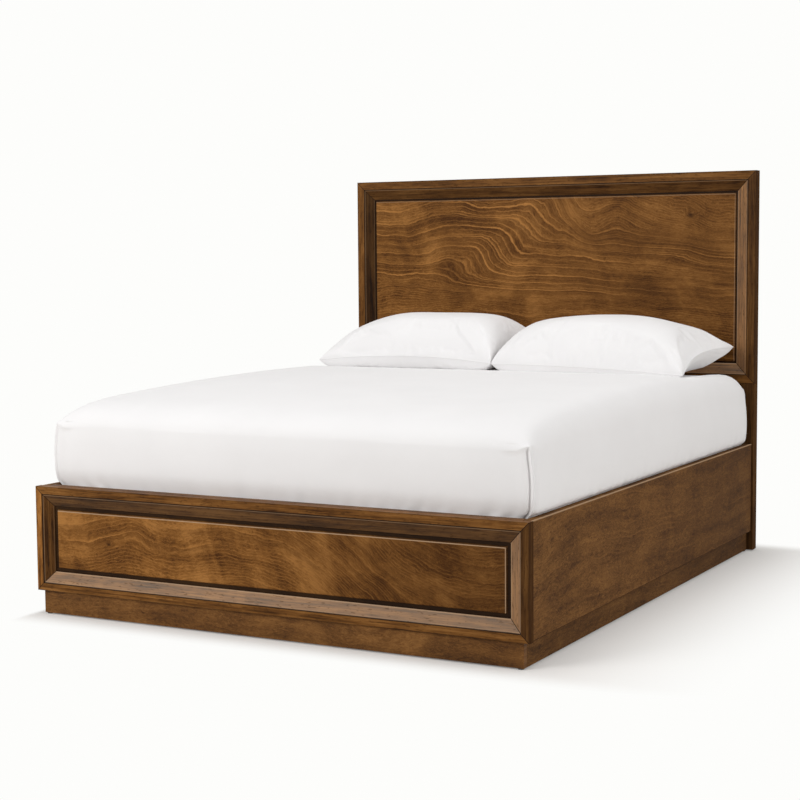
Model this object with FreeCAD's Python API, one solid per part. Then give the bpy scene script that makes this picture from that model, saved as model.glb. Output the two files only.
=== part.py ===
import FreeCAD, Part
import math
import os

# Panel bed for a 160 x 200 cm mattress: a mitred bevel-moulded headboard and footboard, each
# round a raised panel, deep side rails hooked on at both ends, a set-back plinth, a slatted
# base on a centre beam, a mattress in a fitted sheet and two pillows.
# Millimetres. +Z up, the foot of the bed towards -Y, the headboard towards +Y.
# The origin is the middle of the bounding box's bottom face, on the floor.

os.makedirs("parts", exist_ok=True)
V = FreeCAD.Vector

# ------------------------------------------------------------------ the mattress well
mattress_width = 1600.0
mattress_length = 2000.0
mattress_side_gap = 13.0
mattress_end_gap = 2.5
slat_top_z = 340.0

# ------------------------------------------------------------------ floor, plinth, rails
glide_height = 4.0
glide_radius = 11.0
glide_edge_inset = 1.5
plinth_height = 71.0
plinth_thickness = 18.0
plinth_side_inset = 20.0
plinth_front_inset = 10.0
plinth_rear_gap = 6.0
plinth_block_leg = 45.0
plinth_block_margin = 5.0
rail_thickness = 28.0
rail_height = 330.0
rail_arris = 2.0

# ------------------------------------------------------------------ footboard
foot_overhang = 4.0
foot_flat = 24.5
foot_bevel = 36.0
foot_bevel_depth = 14.5
foot_moulding_thickness = 28.0
foot_core_thickness = 32.0
foot_core_gap = 0.5
foot_field_gap = 14.0

# ------------------------------------------------------------------ headboard
head_overhang = 7.0
head_height = 1422.0
head_frame_height = 791.0
head_flat = 32.0
head_bevel = 41.5
head_bevel_depth = 14.5
head_moulding_thickness = 33.0
head_back_thickness = 12.0
head_back_panel_thickness = 6.0
head_post_width = 95.0
head_back_rail_height = 95.0
head_lower_rail_height = 110.0
head_lower_rail_drop = 5.0
head_leg_chamfer = 1.2
head_field_gap = 8.5

# ------------------------------------------------------------------ moulding and panel details
moulding_quirk = 1.5
moulding_arris = 2.0
moulding_lip = 4.0
rabbet_width = 12.0
tongue_play = 4.0
field_rise = 6.0
field_arris = 2.5

# ------------------------------------------------------------------ rail hooks
plate_length = 140.0
plate_width = 20.0
plate_thickness = 2.5
hook_pitch = 80.0
hook_thickness = 3.0
hook_neck = 14.0
hook_drop = 12.0
hook_grip = 3.2
hook_play = 0.3
slot_play = 0.4
slot_lift = 2.0
pocket_play = 2.0

# ------------------------------------------------------------------ slatted base
ledger_width = 28.0
ledger_height = 35.0
ledger_end_gap = 8.0
slat_count = 14
slat_width = 70.0
slat_thickness = 18.0
slat_end_gap = 5.0
slat_first_margin = 12.0
slat_arris = 3.0
beam_width = 60.0
beam_height = 60.0
beam_play = 0.3
hanger_steel = 2.5
hanger_flange = 25.0
hanger_seat = 40.0
leg_size = 45.0
leg_count = 3
leg_pitch = 600.0
leg_clear_floor = 20.0
foot_disc_radius = 20.0
foot_disc_height = 8.0
foot_disc_chamfer = 2.0
stem_radius = 4.0
stem_running_gap = 0.06
stem_length = 38.0
stem_travel = 10.0

# ------------------------------------------------------------------ soft goods
soft_gap = 0.3
mattress_crown_height = 368.0
mattress_bulge = 28.0
mattress_end_bulge = 1.0
mattress_end_share = 0.35
mattress_wall = 22.0
sheet_thickness = 1.2
pillow_width = 736.0
pillow_depth = 476.0
pillow_height = 182.0
pillow_seam_height = 22.0
pillow_belly = 62.0
pillow_draw = 0.045
pillow_tilt = 4.4
pillow_side_gap = 4.0
pillow_head_gap = 27.0

# ------------------------------------------------------------------ worked-out places
inner_half = mattress_width / 2 + mattress_side_gap
rail_outer = inner_half + rail_thickness
foot_half = rail_outer + foot_overhang
head_half = rail_outer + head_overhang
clear_length = mattress_length + 2 * mattress_end_gap
foot_depth = foot_moulding_thickness + foot_core_thickness
head_depth = head_moulding_thickness + head_back_thickness
total_depth = foot_depth + clear_length + head_depth
foot_front = -total_depth / 2
foot_joint = foot_front + foot_moulding_thickness
foot_back = foot_front + foot_depth
head_front = foot_back + clear_length
head_joint = head_front + head_moulding_thickness
head_back = head_front + head_depth
rail_front = foot_joint
rail_rear = head_front - 2 * plate_thickness
rail_mid_x = inner_half + rail_thickness / 2
frame_bottom = glide_height + plinth_height
frame_top = frame_bottom + rail_height
head_frame_bottom = head_height - head_frame_height
foot_moulding_width = foot_flat + foot_bevel
head_moulding_width = head_flat + head_bevel
slat_bottom = slat_top_z - slat_thickness
mid_z = frame_bottom + rail_height / 2
beam_bottom = slat_bottom - beam_height
head_inner_x = head_half - head_post_width


def save(name, shape):
    """Write one piece as a STEP file named after its node."""
    shape.exportStep("parts/" + name + ".step")
    solids = len(shape.Solids)
    print("%-28s solids %d volume %.0f valid %s" % (name, solids, shape.Volume, shape.isValid()))


def block(x0, x1, y0, y1, z0, z1):
    """A rectangular block between two corners."""
    return Part.makeBox(x1 - x0, y1 - y0, z1 - z0, V(x0, y0, z0))


def outline(points, radii=None):
    """A closed wire through points, each corner rounded by its own radius where it has one."""
    radii = radii or {}
    n = len(points)
    edges = []
    ends = []
    for i, p in enumerate(points):
        r = radii.get(i, 0)
        if not r:
            ends.append((p, p, None))
            continue
        a = (points[i - 1] - p).normalize()
        b = (points[(i + 1) % n] - p).normalize()
        half = a.getAngle(b) / 2
        t = r / math.tan(half)
        middle = (a + b).normalize()
        centre = p + middle * (r / math.sin(half))
        ends.append((p + a * t, p + b * t, centre - middle * r))
    for i in range(n):
        first, last, crest = ends[i]
        if crest is not None:
            edges.append(Part.Arc(first, crest, last).toShape())
        start = ends[(i + 1) % n][0]
        if last.distanceToPoint(start) > 1e-6:
            edges.append(Part.LineSegment(last, start).toShape())
    return Part.Wire(edges)


def prism(points, along, radii=None):
    """Extrude a closed outline by the vector along."""
    return Part.Face(outline(points, radii)).extrude(along)


def eased(points, arris):
    """Cut each corner of a rectangle's outline flat by arris, for boards with eased edges."""
    n = len(points)
    cut = []
    for i, p in enumerate(points):
        cut.append(p + (points[i - 1] - p).normalize() * arris)
        cut.append(p + (points[(i + 1) % n] - p).normalize() * arris)
    return cut


def board(points, along, arris, rounded):
    """A board with the end outline points, its four long edges rounded, or eased flat."""
    if rounded:
        return prism(points, along, {i: arris for i in range(4)})
    return prism(eased(points, arris), along)


def board_along_y(x0, x1, y0, y1, z0, z1, arris, rounded=True):
    """A board that runs along Y, with its four long edges broken by arris."""
    points = [V(x0, y0, z0), V(x1, y0, z0), V(x1, y0, z1), V(x0, y0, z1)]
    return board(points, V(0, y1 - y0, 0), arris, rounded)


def board_along_x(x0, x1, y0, y1, z0, z1, arris, rounded=True):
    """A board that runs along X, with its four long edges broken by arris."""
    points = [V(x0, y0, z0), V(x0, y1, z0), V(x0, y1, z1), V(x0, y0, z1)]
    return board(points, V(x1 - x0, 0, 0), arris, rounded)


def board_along_z(x0, x1, y0, y1, z0, z1, arris, rounded=True):
    """A board that stands along Z, with its four long edges broken by arris."""
    points = [V(x0, y0, z0), V(x1, y0, z0), V(x1, y1, z0), V(x0, y1, z0)]
    return board(points, V(0, 0, z1 - z0), arris, rounded)


# ------------------------------------------------------------------ mouldings and raised panels
def moulding_section(flat, bevel, bevel_depth, thickness):
    """Moulding profile as (inward, backward) pairs: a flat, a quirk, a bevel and a back rabbet."""
    width = flat + bevel
    inner = moulding_quirk + bevel_depth
    return [
        (0, 0),
        (flat, 0),
        (flat, moulding_quirk),
        (width, inner),
        (width, inner + moulding_lip),
        (width - rabbet_width, inner + moulding_lip),
        (width - rabbet_width, thickness),
        (0, thickness),
    ]


def moulding_frame(half, z0, z1, front, section):
    """Four moulding pieces round a rectangle, each one mitred at both ends."""
    width = max(s for s, _ in section)
    thickness = max(d for _, d in section)
    rounding = {0: moulding_arris}
    spans = {
        "top": [V(-half, 0, z1), V(half, 0, z1), V(half - width, 0, z1 - width), V(width - half, 0, z1 - width)],
        "bottom": [V(-half, 0, z0), V(half, 0, z0), V(half - width, 0, z0 + width), V(width - half, 0, z0 + width)],
        "left": [V(-half, 0, z0), V(-half, 0, z1), V(width - half, 0, z1 - width), V(width - half, 0, z0 + width)],
        "right": [V(half, 0, z0), V(half, 0, z1), V(half - width, 0, z1 - width), V(half - width, 0, z0 + width)],
    }
    bars = {
        "top": ([V(-half, front + d, z1 - s) for s, d in section], V(2 * half, 0, 0)),
        "bottom": ([V(-half, front + d, z0 + s) for s, d in section], V(2 * half, 0, 0)),
        "left": ([V(s - half, front + d, z0) for s, d in section], V(0, 0, z1 - z0)),
        "right": ([V(half - s, front + d, z0) for s, d in section], V(0, 0, z1 - z0)),
    }
    pieces = {}
    for side, (points, along) in bars.items():
        bar = prism(points, along, rounding)
        mitre = prism([p + V(0, front, 0) for p in spans[side]], V(0, thickness, 0))
        pieces[side] = bar.common(mitre)
    return pieces


def raised_panel(half, z0, z1, front, section, field_gap):
    """A panel whose tongue fits the rabbet, with a raised field whose front edges are rounded."""
    width = max(s for s, _ in section)
    thickness = max(d for _, d in section)
    tongue_depth = max(d for s, d in section if s == width)
    inset = width - rabbet_width + tongue_play
    tongue = block(inset - half, half - inset, front + tongue_depth, front + thickness, z0 + inset, z1 - inset)
    edge = width + field_gap
    face = front + tongue_depth - field_rise
    field = block(edge - half, half - edge, face, front + tongue_depth, z0 + edge, z1 - edge)
    rims = [e for e in field.Edges if e.BoundBox.YMax < face + 1e-6]
    return tongue.fuse(field.makeFillet(field_arris, rims)).removeSplitter()


# ------------------------------------------------------------------ rail hooks
def hook_levels():
    """Heights of the undersides of the two hook necks on each plate."""
    return [mid_z - hook_pitch / 2, mid_z + hook_pitch / 2]


def strike_pocket(side, plate_face, outward, recess):
    """The hollow in a post for one strike plate and for the hook tips behind it."""
    x = side * rail_mid_x
    z = mid_z
    half_w = plate_width / 2
    back = plate_face + outward * plate_thickness
    reach = back + outward * (hook_play + hook_grip + pocket_play)
    cuts = []
    if recess:
        y0, y1 = sorted((plate_face, back))
        cuts.append(block(x - half_w, x + half_w, y0, y1, z - plate_length / 2, z + plate_length / 2))
    y0, y1 = sorted((back, reach))
    half_p = hook_thickness / 2 + pocket_play
    for level in hook_levels():
        low = level - hook_drop - pocket_play
        high = level + hook_neck + hook_drop + slot_lift
        cuts.append(block(x - half_p, x + half_p, y0, y1, low, high))
    return cuts


def hook_plate(side, plate_face, outward):
    """A plate on a rail's end with two hooks that point outward and down; face is its outer face."""
    x = side * rail_mid_x
    y0, y1 = sorted((plate_face, plate_face - outward * plate_thickness))
    half_w = plate_width / 2
    plate = block(x - half_w, x + half_w, y0, y1, mid_z - plate_length / 2, mid_z + plate_length / 2)
    near = plate_thickness + hook_play
    tip = near + hook_grip
    for level in hook_levels():
        profile = [
            (0, level),
            (near, level),
            (near, level - hook_drop),
            (tip, level - hook_drop),
            (tip, level + hook_neck),
            (0, level + hook_neck),
        ]
        x0 = x - hook_thickness / 2
        points = [V(x0, plate_face + outward * o, z) for o, z in profile]
        plate = plate.fuse(prism(points, V(hook_thickness, 0, 0), {3: 1.4, 4: 2.0}))
    return plate.removeSplitter()


def strike_plate(side, plate_face, outward):
    """A plate on a post with two slots that the hooks drop behind."""
    x = side * rail_mid_x
    y0, y1 = sorted((plate_face, plate_face + outward * plate_thickness))
    half_w = plate_width / 2
    plate = block(x - half_w, x + half_w, y0, y1, mid_z - plate_length / 2, mid_z + plate_length / 2)
    half_s = hook_thickness / 2 + slot_play
    for level in hook_levels():
        high = level + hook_neck + hook_drop + slot_lift
        plate = plate.cut(block(x - half_s, x + half_s, y0, y1, level, high))
    return plate


# ------------------------------------------------------------------ end boards
def make_footboard():
    """The footboard: mitred moulding frame, raised panel and core board."""
    section = moulding_section(foot_flat, foot_bevel, foot_bevel_depth, foot_moulding_thickness)
    pieces = moulding_frame(foot_half, frame_bottom, frame_top, foot_front, section)
    for name, side in (("left", -1), ("right", 1)):
        for cut in strike_pocket(side, foot_joint, -1, True):
            pieces[name] = pieces[name].cut(cut)
    for name, shape in pieces.items():
        save("footboard_moulding_" + name, shape)
    panel = raised_panel(foot_half, frame_bottom, frame_top, foot_front, section, foot_field_gap)
    save("footboard_panel", panel)
    half = inner_half - foot_core_gap
    core = board_along_x(-half, half, foot_joint, foot_back, frame_bottom, frame_top, moulding_arris)
    save("footboard_core", core)


def make_headboard():
    """The headboard: mitred moulding frame, raised panel, legs, back posts, back rails and back panel."""
    section = moulding_section(head_flat, head_bevel, head_bevel_depth, head_moulding_thickness)
    pieces = moulding_frame(head_half, head_frame_bottom, head_height, head_front, section)
    for name, shape in pieces.items():
        save("headboard_moulding_" + name, shape)
    panel = raised_panel(head_half, head_frame_bottom, head_height, head_front, section, head_field_gap)
    save("headboard_panel", panel)
    for name, side in (("left", -1), ("right", 1)):
        x0, x1 = sorted((side * head_inner_x, side * head_half))
        leg = board_along_z(x0, x1, head_front, head_joint, glide_height, head_frame_bottom, moulding_arris)
        top = [e for e in leg.Edges if e.BoundBox.ZMin > head_frame_bottom - 1e-6]
        leg = leg.makeChamfer(head_leg_chamfer, top)
        for cut in strike_pocket(side, head_front - plate_thickness, 1, False):
            leg = leg.cut(cut)
        save("headboard_leg_" + name, leg)
        post = board_along_z(x0, x1, head_joint, head_back, glide_height, head_height, moulding_arris)
        save("headboard_post_" + name, post)
    low = slat_top_z - head_lower_rail_height + head_lower_rail_drop
    rail = board_along_x(
        -head_inner_x, head_inner_x, head_front, head_joint, low, low + head_lower_rail_height,
        moulding_arris, False
    )
    save("headboard_lower_rail", rail)
    top_low = head_height - head_back_rail_height
    rail_top = board_along_x(
        -head_inner_x, head_inner_x, head_joint, head_back, top_low, head_height,
        moulding_arris, False
    )
    save("headboard_back_rail_top", rail_top)
    foot_high = head_frame_bottom + head_moulding_width
    rail_low = board_along_x(
        -head_inner_x, head_inner_x, head_joint, head_back,
        foot_high - head_back_rail_height, foot_high, moulding_arris, False
    )
    save("headboard_back_rail_bottom", rail_low)
    thin = head_joint + head_back_panel_thickness
    save("headboard_back_panel", block(-head_inner_x, head_inner_x, head_joint, thin, foot_high, top_low))


# ------------------------------------------------------------------ rails and plinth
def make_rails():
    """The two side rails, their hook plates and the strike plates that hold them."""
    hooks = []
    strikes = []
    for name, side in (("left", -1), ("right", 1)):
        x0, x1 = sorted((side * inner_half, side * rail_outer))
        rail = board_along_y(x0, x1, rail_front, rail_rear, frame_bottom, frame_top, rail_arris)
        mid = side * rail_mid_x
        half_w = plate_width / 2
        let_in = block(
            mid - half_w, mid + half_w, rail_front, rail_front + plate_thickness,
            mid_z - plate_length / 2, mid_z + plate_length / 2
        )
        save("side_rail_" + name, rail.cut(let_in))
        hooks.append(hook_plate(side, rail_front, -1))
        hooks.append(hook_plate(side, rail_rear + plate_thickness, 1))
        strikes.append(strike_plate(side, foot_joint, -1))
        strikes.append(strike_plate(side, head_front - plate_thickness, 1))
    save("rail_hook_plates", Part.makeCompound(hooks))
    save("rail_strike_plates", Part.makeCompound(strikes))


def make_plinth():
    """The set-back plinth under the footboard and rails, its corner blocks and the floor glides."""
    half = foot_half - plinth_side_inset
    inner = half - plinth_thickness
    front = foot_front + plinth_front_inset
    behind = front + plinth_thickness
    rear = head_front - plinth_rear_gap
    save("plinth_front", block(-half, half, front, behind, glide_height, frame_bottom))
    for name, side in (("left", -1), ("right", 1)):
        x0, x1 = sorted((side * inner, side * half))
        save("plinth_side_" + name, block(x0, x1, behind, rear, glide_height, frame_bottom))
        corner = [
            V(side * inner, behind, glide_height + plinth_block_margin),
            V(side * (inner - plinth_block_leg), behind, glide_height + plinth_block_margin),
            V(side * inner, behind + plinth_block_leg, glide_height + plinth_block_margin),
        ]
        save("plinth_block_" + name, prism(corner, V(0, 0, plinth_height - 2 * plinth_block_margin)))
    glides = []
    reach = glide_radius + glide_edge_inset
    for side in (-1, 1):
        x = side * (half - reach)
        glides.append(floor_glide(x, front + plinth_thickness / 2))
        glides.append(floor_glide(side * (half - plinth_thickness / 2), rear - reach))
        glides.append(floor_glide(side * (head_half - head_post_width / 2), head_front + head_depth / 2))
    save("floor_glides", Part.makeCompound(glides))


def floor_glide(x, y):
    """A round glide with a chamfered lower edge."""
    edge = glide_height / 4
    r = min(glide_radius, plinth_thickness / 2)
    points = [V(0, 0, 0), V(r - edge, 0, 0), V(r, 0, edge), V(r, 0, glide_height), V(0, 0, glide_height)]
    disc = Part.Face(outline(points)).revolve(V(0, 0, 0), V(0, 0, 1), 360)
    disc.translate(V(x, y, 0))
    return disc


# ------------------------------------------------------------------ slatted base
def slat_places():
    """Lower Y of each slat, evenly spaced between the footboard core and the headboard."""
    first = foot_back + slat_first_margin
    last = head_front - slat_first_margin - slat_width
    return [first + (last - first) * i / (slat_count - 1) for i in range(slat_count)]


def make_slats():
    """Ledgers on the rails, the slats across them, the centre beam and its two hangers."""
    for name, side in (("left", -1), ("right", 1)):
        x0, x1 = sorted((side * (inner_half - ledger_width), side * inner_half))
        ledger = board_along_y(
            x0, x1, foot_back + ledger_end_gap, rail_rear - ledger_end_gap,
            slat_bottom - ledger_height, slat_bottom, moulding_arris, False
        )
        save("slat_ledger_" + name, ledger)
    half = inner_half - slat_end_gap
    for i, y in enumerate(slat_places()):
        slat = board_along_x(-half, half, y, y + slat_width, slat_bottom, slat_top_z, slat_arris, False)
        save("slat_%02d" % (i + 1), slat)
    near = foot_back + hanger_steel + beam_play
    far = head_front - hanger_steel - beam_play
    half_b = beam_width / 2
    beam = board_along_y(-half_b, half_b, near, far, beam_bottom, slat_bottom, moulding_arris, False)
    save("centre_beam", beam)
    save("beam_hanger_front", beam_hanger(foot_back, 1))
    save("beam_hanger_rear", beam_hanger(head_front, -1))


def beam_hanger(face, inward):
    """A folded steel hanger: a flange on the end board and a U-shaped seat round the beam's end."""
    inner = beam_width / 2 + beam_play
    outer = inner + hanger_steel
    low = beam_bottom - hanger_steel
    high = slat_bottom - moulding_arris
    profile = [
        V(-outer, face, low), V(outer, face, low), V(outer, face, high), V(inner, face, high),
        V(inner, face, beam_bottom), V(-inner, face, beam_bottom), V(-inner, face, high), V(-outer, face, high),
    ]
    seat = prism(profile, V(0, inward * (hanger_steel + hanger_seat), 0), {0: hanger_steel, 1: hanger_steel})
    y0, y1 = sorted((face, face + inward * hanger_steel))
    flange = block(-outer - hanger_flange, outer + hanger_flange, y0, y1, low, high)
    return seat.fuse(flange).removeSplitter()


def make_centre_legs():
    """The centre legs under the beam, each with a screw-in levelling foot."""
    names = ["front", "middle", "rear"]
    half = leg_size / 2
    bore = stem_radius + stem_running_gap
    bore_top = foot_disc_height + stem_length + 1.5 * stem_travel
    for i in range(leg_count):
        y = (i - (leg_count - 1) / 2) * leg_pitch
        leg = board_along_z(-half, half, y - half, y + half, leg_clear_floor, beam_bottom, moulding_arris, False)
        hole = Part.makeCylinder(bore, bore_top - leg_clear_floor, V(0, y, leg_clear_floor))
        save("centre_leg_" + names[i], leg.cut(hole))
        points = [
            V(0, 0, 0),
            V(foot_disc_radius - foot_disc_chamfer, 0, 0),
            V(foot_disc_radius, 0, foot_disc_chamfer),
            V(foot_disc_radius, 0, foot_disc_height),
            V(stem_radius, 0, foot_disc_height),
            V(stem_radius, 0, foot_disc_height + stem_length),
            V(0, 0, foot_disc_height + stem_length),
        ]
        foot = Part.Face(outline(points)).revolve(V(0, 0, 0), V(0, 0, 1), 360)
        foot.translate(V(0, y, 0))
        save("levelling_foot_" + names[i], foot)


# ------------------------------------------------------------------ soft goods
def cushion_ring(cx, cy, a, b, corner, z, draw=0.0, side_steps=1, corner_steps=6, slope=0.0):
    """A closed ring of short lines with half sizes a and b at height z, tipped about X by slope.

    Each side is drawn in as a parabola, by draw times its own half length. Each corner is a
    quarter circle of the radius corner. Rings with the same draw and steps have parallel lines,
    so every face of a loft between them is flat.
    """
    points = []
    ways = [((1, 0), (0, -1)), ((0, 1), (1, 0)), ((-1, 0), (0, 1)), ((0, -1), (-1, 0))]
    for i, (along, out) in enumerate(ways):
        half, reach = (a - corner, b) if i % 2 == 0 else (b - corner, a)
        steps = [-1 + 2 * j / side_steps for j in range(side_steps)]
        local = [(t * half, reach - draw * half * (1 - t * t)) for t in steps]
        for j in range(corner_steps):
            turn = math.pi / 2 * j / corner_steps
            local.append((half + corner * math.sin(turn), reach - corner + corner * math.cos(turn)))
        for u, v in local:
            x = u * along[0] + v * out[0]
            y = u * along[1] + v * out[1]
            points.append(V(cx + x, cy + y, z + slope * y))
    return Part.makePolygon(points + points[:1])


def flat_loft(rings):
    """A ruled loft through rings of parallel lines, with each of its faces made a true plane."""
    loft = Part.makeLoft(rings, True, True)
    sides = []
    for face in loft.Faces:
        corners = [v.Point for v in face.OuterWire.OrderedVertexes]
        sides.append(Part.Face(Part.makePolygon(corners + corners[:1])))
    shell = Part.makeCompound(sides)
    shell.sewShape()
    return Part.Solid(shell.Shells[0])


def mattress_profile():
    """Side profile of the mattress: (inward from the bulge, share of the height, corner radius)."""
    return [
        (mattress_bulge + 10.0, 0.000, 60.0),
        (mattress_bulge + 1.0, 0.030, 62.0),
        (21.0, 0.180, 66.0),
        (5.0, 0.380, 72.0),
        (0.0, 0.570, 78.0),
        (5.0, 0.710, 84.0),
        (17.0, 0.785, 92.0),
        (46.0, 0.850, 110.0),
        (94.0, 0.895, 132.0),
        (176.0, 0.948, 160.0),
        (262.0, 0.981, 190.0),
        (400.0, 1.000, 230.0),
    ]


def mattress_form(grow):
    """The mattress body, with every ring moved out square to the side profile by grow."""
    base = slat_top_z + soft_gap
    cy = (foot_back + head_front) / 2
    half_w = mattress_width / 2 + mattress_bulge
    half_l = mattress_length / 2 - mattress_end_bulge
    profile = mattress_profile()
    last = len(profile) - 1
    rings = []
    for i, (inward, share, radius) in enumerate(profile):
        low = profile[max(i - 1, 0)]
        high = profile[min(i + 1, last)]
        dx = high[0] - low[0]
        dz = (high[1] - low[1]) * mattress_crown_height
        out = grow * dz / math.hypot(dx, dz) if i < last else 0.0
        up = grow * dx / math.hypot(dx, dz) if i < last else grow
        end_inward = inward if inward > mattress_bulge else inward * mattress_end_share
        z = base + share * mattress_crown_height + (up if i else 0.0)
        rings.append(cushion_ring(
            0, cy, half_w - inward + out, half_l - end_inward + out, radius + out, z
        ))
    return flat_loft(rings)


def make_mattress():
    """The mattress, hollow where its spring unit lies, and the fitted sheet stretched over it."""
    solid = mattress_form(0)
    base = slat_top_z + soft_gap
    cy = (foot_back + head_front) / 2
    half_w = mattress_width / 2 - mattress_wall
    half_l = mattress_length / 2 - mattress_wall - 12.0
    rise = mattress_crown_height
    core = block(-half_w, half_w, cy - half_l, cy + half_l, base + mattress_wall, base + 0.80 * rise)
    step = 0.16 * half_w
    upper = block(
        step - half_w, half_w - step, cy - half_l + step, cy + half_l - step,
        base + 0.80 * rise, base + 0.90 * rise
    )
    save("mattress", solid.cut(core.fuse(upper).removeSplitter()))
    save("fitted_sheet", mattress_form(sheet_thickness).cut(solid))


def pillow_rings(cx, cy, z, rise, rows):
    """Rings of one side of a pillow, from (length share, depth share, corner, height share) rows."""
    slope = math.tan(math.radians(pillow_tilt))
    a = pillow_width / 2
    b = pillow_depth / 2
    return [
        cushion_ring(cx, cy, a * u, b * v, corner, z + h * rise, pillow_draw, 12, 4, slope)
        for u, v, corner, h in rows
    ]


def make_pillows():
    """Two filled pillows with pointed corners, drawn-in sides, and a flat where they rest."""
    lift = slat_top_z + 2 * soft_gap + mattress_crown_height + sheet_thickness
    b = pillow_depth / 2
    cy = head_front - pillow_head_gap - b
    seam = lift + pillow_seam_height + math.tan(math.radians(pillow_tilt)) * b
    rise = lift + pillow_height - seam
    upper = [
        (1.000, 1.000, 9.0, 0.000),
        (0.985, 0.972, 12.0, 0.090),
        (0.962, 0.938, 19.0, 0.200),
        (0.932, 0.892, 29.0, 0.330),
        (0.892, 0.836, 39.0, 0.470),
        (0.836, 0.762, 51.0, 0.610),
        (0.760, 0.666, 60.0, 0.740),
        (0.660, 0.552, 64.0, 0.850),
        (0.540, 0.430, 58.0, 0.928),
        (0.390, 0.292, 42.0, 0.976),
        (0.210, 0.140, 20.0, 1.000),
    ]
    lower = [
        (1.000, 1.000, 9.0, 0.000),
        (0.964, 0.936, 18.0, 0.300),
        (0.888, 0.836, 34.0, 0.620),
        (0.770, 0.690, 46.0, 0.860),
        (0.590, 0.470, 50.0, 1.000),
    ]
    for name, side in (("left", -1), ("right", 1)):
        cx = side * (pillow_width + pillow_side_gap) / 2
        crown = flat_loft(pillow_rings(cx, cy, seam, rise, upper))
        belly = flat_loft(pillow_rings(cx, cy, seam, -pillow_belly, lower))
        below = block(cx - pillow_width, cx + pillow_width, cy - pillow_depth, cy + pillow_depth, 0, lift)
        save("pillow_" + name, crown.fuse(belly).cut(below))


make_footboard()
make_headboard()
make_rails()
make_plinth()
make_slats()
make_centre_legs()
make_mattress()
make_pillows()
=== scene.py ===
import math

import bmesh
import bpy
import numpy as np
from bpy.props import FloatProperty, FloatVectorProperty, IntProperty, PointerProperty
from mathutils import Matrix, Vector


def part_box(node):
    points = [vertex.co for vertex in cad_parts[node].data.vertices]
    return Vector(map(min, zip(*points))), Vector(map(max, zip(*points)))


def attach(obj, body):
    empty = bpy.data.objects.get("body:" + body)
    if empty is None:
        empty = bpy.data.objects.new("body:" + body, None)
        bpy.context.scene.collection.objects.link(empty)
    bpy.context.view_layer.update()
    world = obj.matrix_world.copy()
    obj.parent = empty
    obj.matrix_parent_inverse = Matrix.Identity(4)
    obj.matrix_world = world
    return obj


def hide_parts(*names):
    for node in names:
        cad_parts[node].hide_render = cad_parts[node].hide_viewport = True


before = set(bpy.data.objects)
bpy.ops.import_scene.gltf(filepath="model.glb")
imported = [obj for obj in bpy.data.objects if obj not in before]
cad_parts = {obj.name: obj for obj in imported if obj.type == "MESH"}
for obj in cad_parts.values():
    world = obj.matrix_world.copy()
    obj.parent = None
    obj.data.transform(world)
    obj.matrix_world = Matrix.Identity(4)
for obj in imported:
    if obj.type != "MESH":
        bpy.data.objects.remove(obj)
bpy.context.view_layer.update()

bl_info = {
    "name": "Panel bed",
    "version": (1, 0, 0),
    "blender": (4, 5, 0),
    "location": "View3D > Sidebar > Panel bed",
    "description": "Dresses the frame of a panel bed: stained wood, fitted sheet, pillows and studio",
    "category": "Add Mesh",
}


def node_box(name):
    """Lowest and highest corner of a frame node, as two arrays in metres."""
    low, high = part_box(name)
    return np.array(low), np.array(high)


MATTRESS_BASE = node_box("mattress")[0][2]
SHEET_LOW, SHEET_HIGH = node_box("fitted_sheet")
RAIL_INSIDE, RAIL_OUTSIDE = (corner[0] for corner in node_box("side_rail_right"))
RAIL_TOP = node_box("side_rail_right")[1][2]
FOOT_INSIDE = node_box("footboard_core")[1][1]


# ------------------------------------------------------------------ settings
def length_of(name, default, description):
    """A length in metres, which a user may change."""
    return FloatProperty(name=name, default=default, description=description, unit="LENGTH")


def colour_of(name, default, description):
    """A linear colour, which a user may change."""
    return FloatVectorProperty(
        name=name, default=default, description=description, subtype="COLOR", min=0, max=1)


class BedSizes(bpy.types.PropertyGroup):
    """Sizes of the soft goods, which a user may change."""

    crown_height: length_of("Crown height", 0.701, "Height of the sheeted mattress at its highest")
    edge_height: length_of("Edge height", 0.588, "Height at which the mattress turns into its top")
    crown_fall: length_of("Crown fall", 0.030, "How much lower the crown is one metre from its highest line")
    shoulder_power: FloatProperty(
        name="Shoulder power", default=26.0,
        description="How tight the long edges are, from 4 for a dome to 60 for a slab")
    foot_overhang: length_of("Foot overhang", 0.004, "How far the mattress bulges over the footboard's top")
    corner_radius: length_of("Corner radius", 0.046, "Radius of the mattress corners seen from above")
    pucker_depth: length_of("Pucker depth", 0.0026, "Depth of the gathers just above the rails")
    pillow_dent: length_of("Pillow dent", 0.010, "How deep the pillows press into the mattress")
    pillow_belly: length_of("Pillow belly", 0.085, "Depth of a pillow's underside below its seam")
    swell_frames: IntProperty(
        name="Swell frames", default=14, description="Frames of the simulation that fills the pillows")


class BedColours(bpy.types.PropertyGroup):
    """Colours of the finishes, which a user may change."""

    stain_dark: colour_of("Dark stain", (0.052, 0.0175, 0.0030), "Darkest streaks of the stained wood")
    stain_mid: colour_of("Middle stain", (0.143, 0.0575, 0.0120), "Main tone of the stained wood")
    stain_light: colour_of("Light stain", (0.289, 0.1290, 0.0335), "Lightest lines of the stained wood")
    # The glaze colour also paints shade in the gap round each raised field.
    glaze: colour_of("Glaze", (0.010, 0.0045, 0.0020), "Dark glaze in the joints and quirks")
    # Painted highlight: the light lines on arrises that catch the lamps.
    painted_highlight: colour_of("Highlighted edge", (0.42, 0.275, 0.165), "Arrises where the finish is rubbed thin")
    # Painted sheen: a pale tint that stands for the lacquer's reflection, most on bevels that face up.
    painted_sheen: colour_of("Reflection", (0.27, 0.26, 0.225), "Pale haze of the lacquer, most on bevels that face up")
    cotton: colour_of("Cotton", (0.835, 0.825, 0.825), "White of the sheet and the pillowcases")


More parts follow.
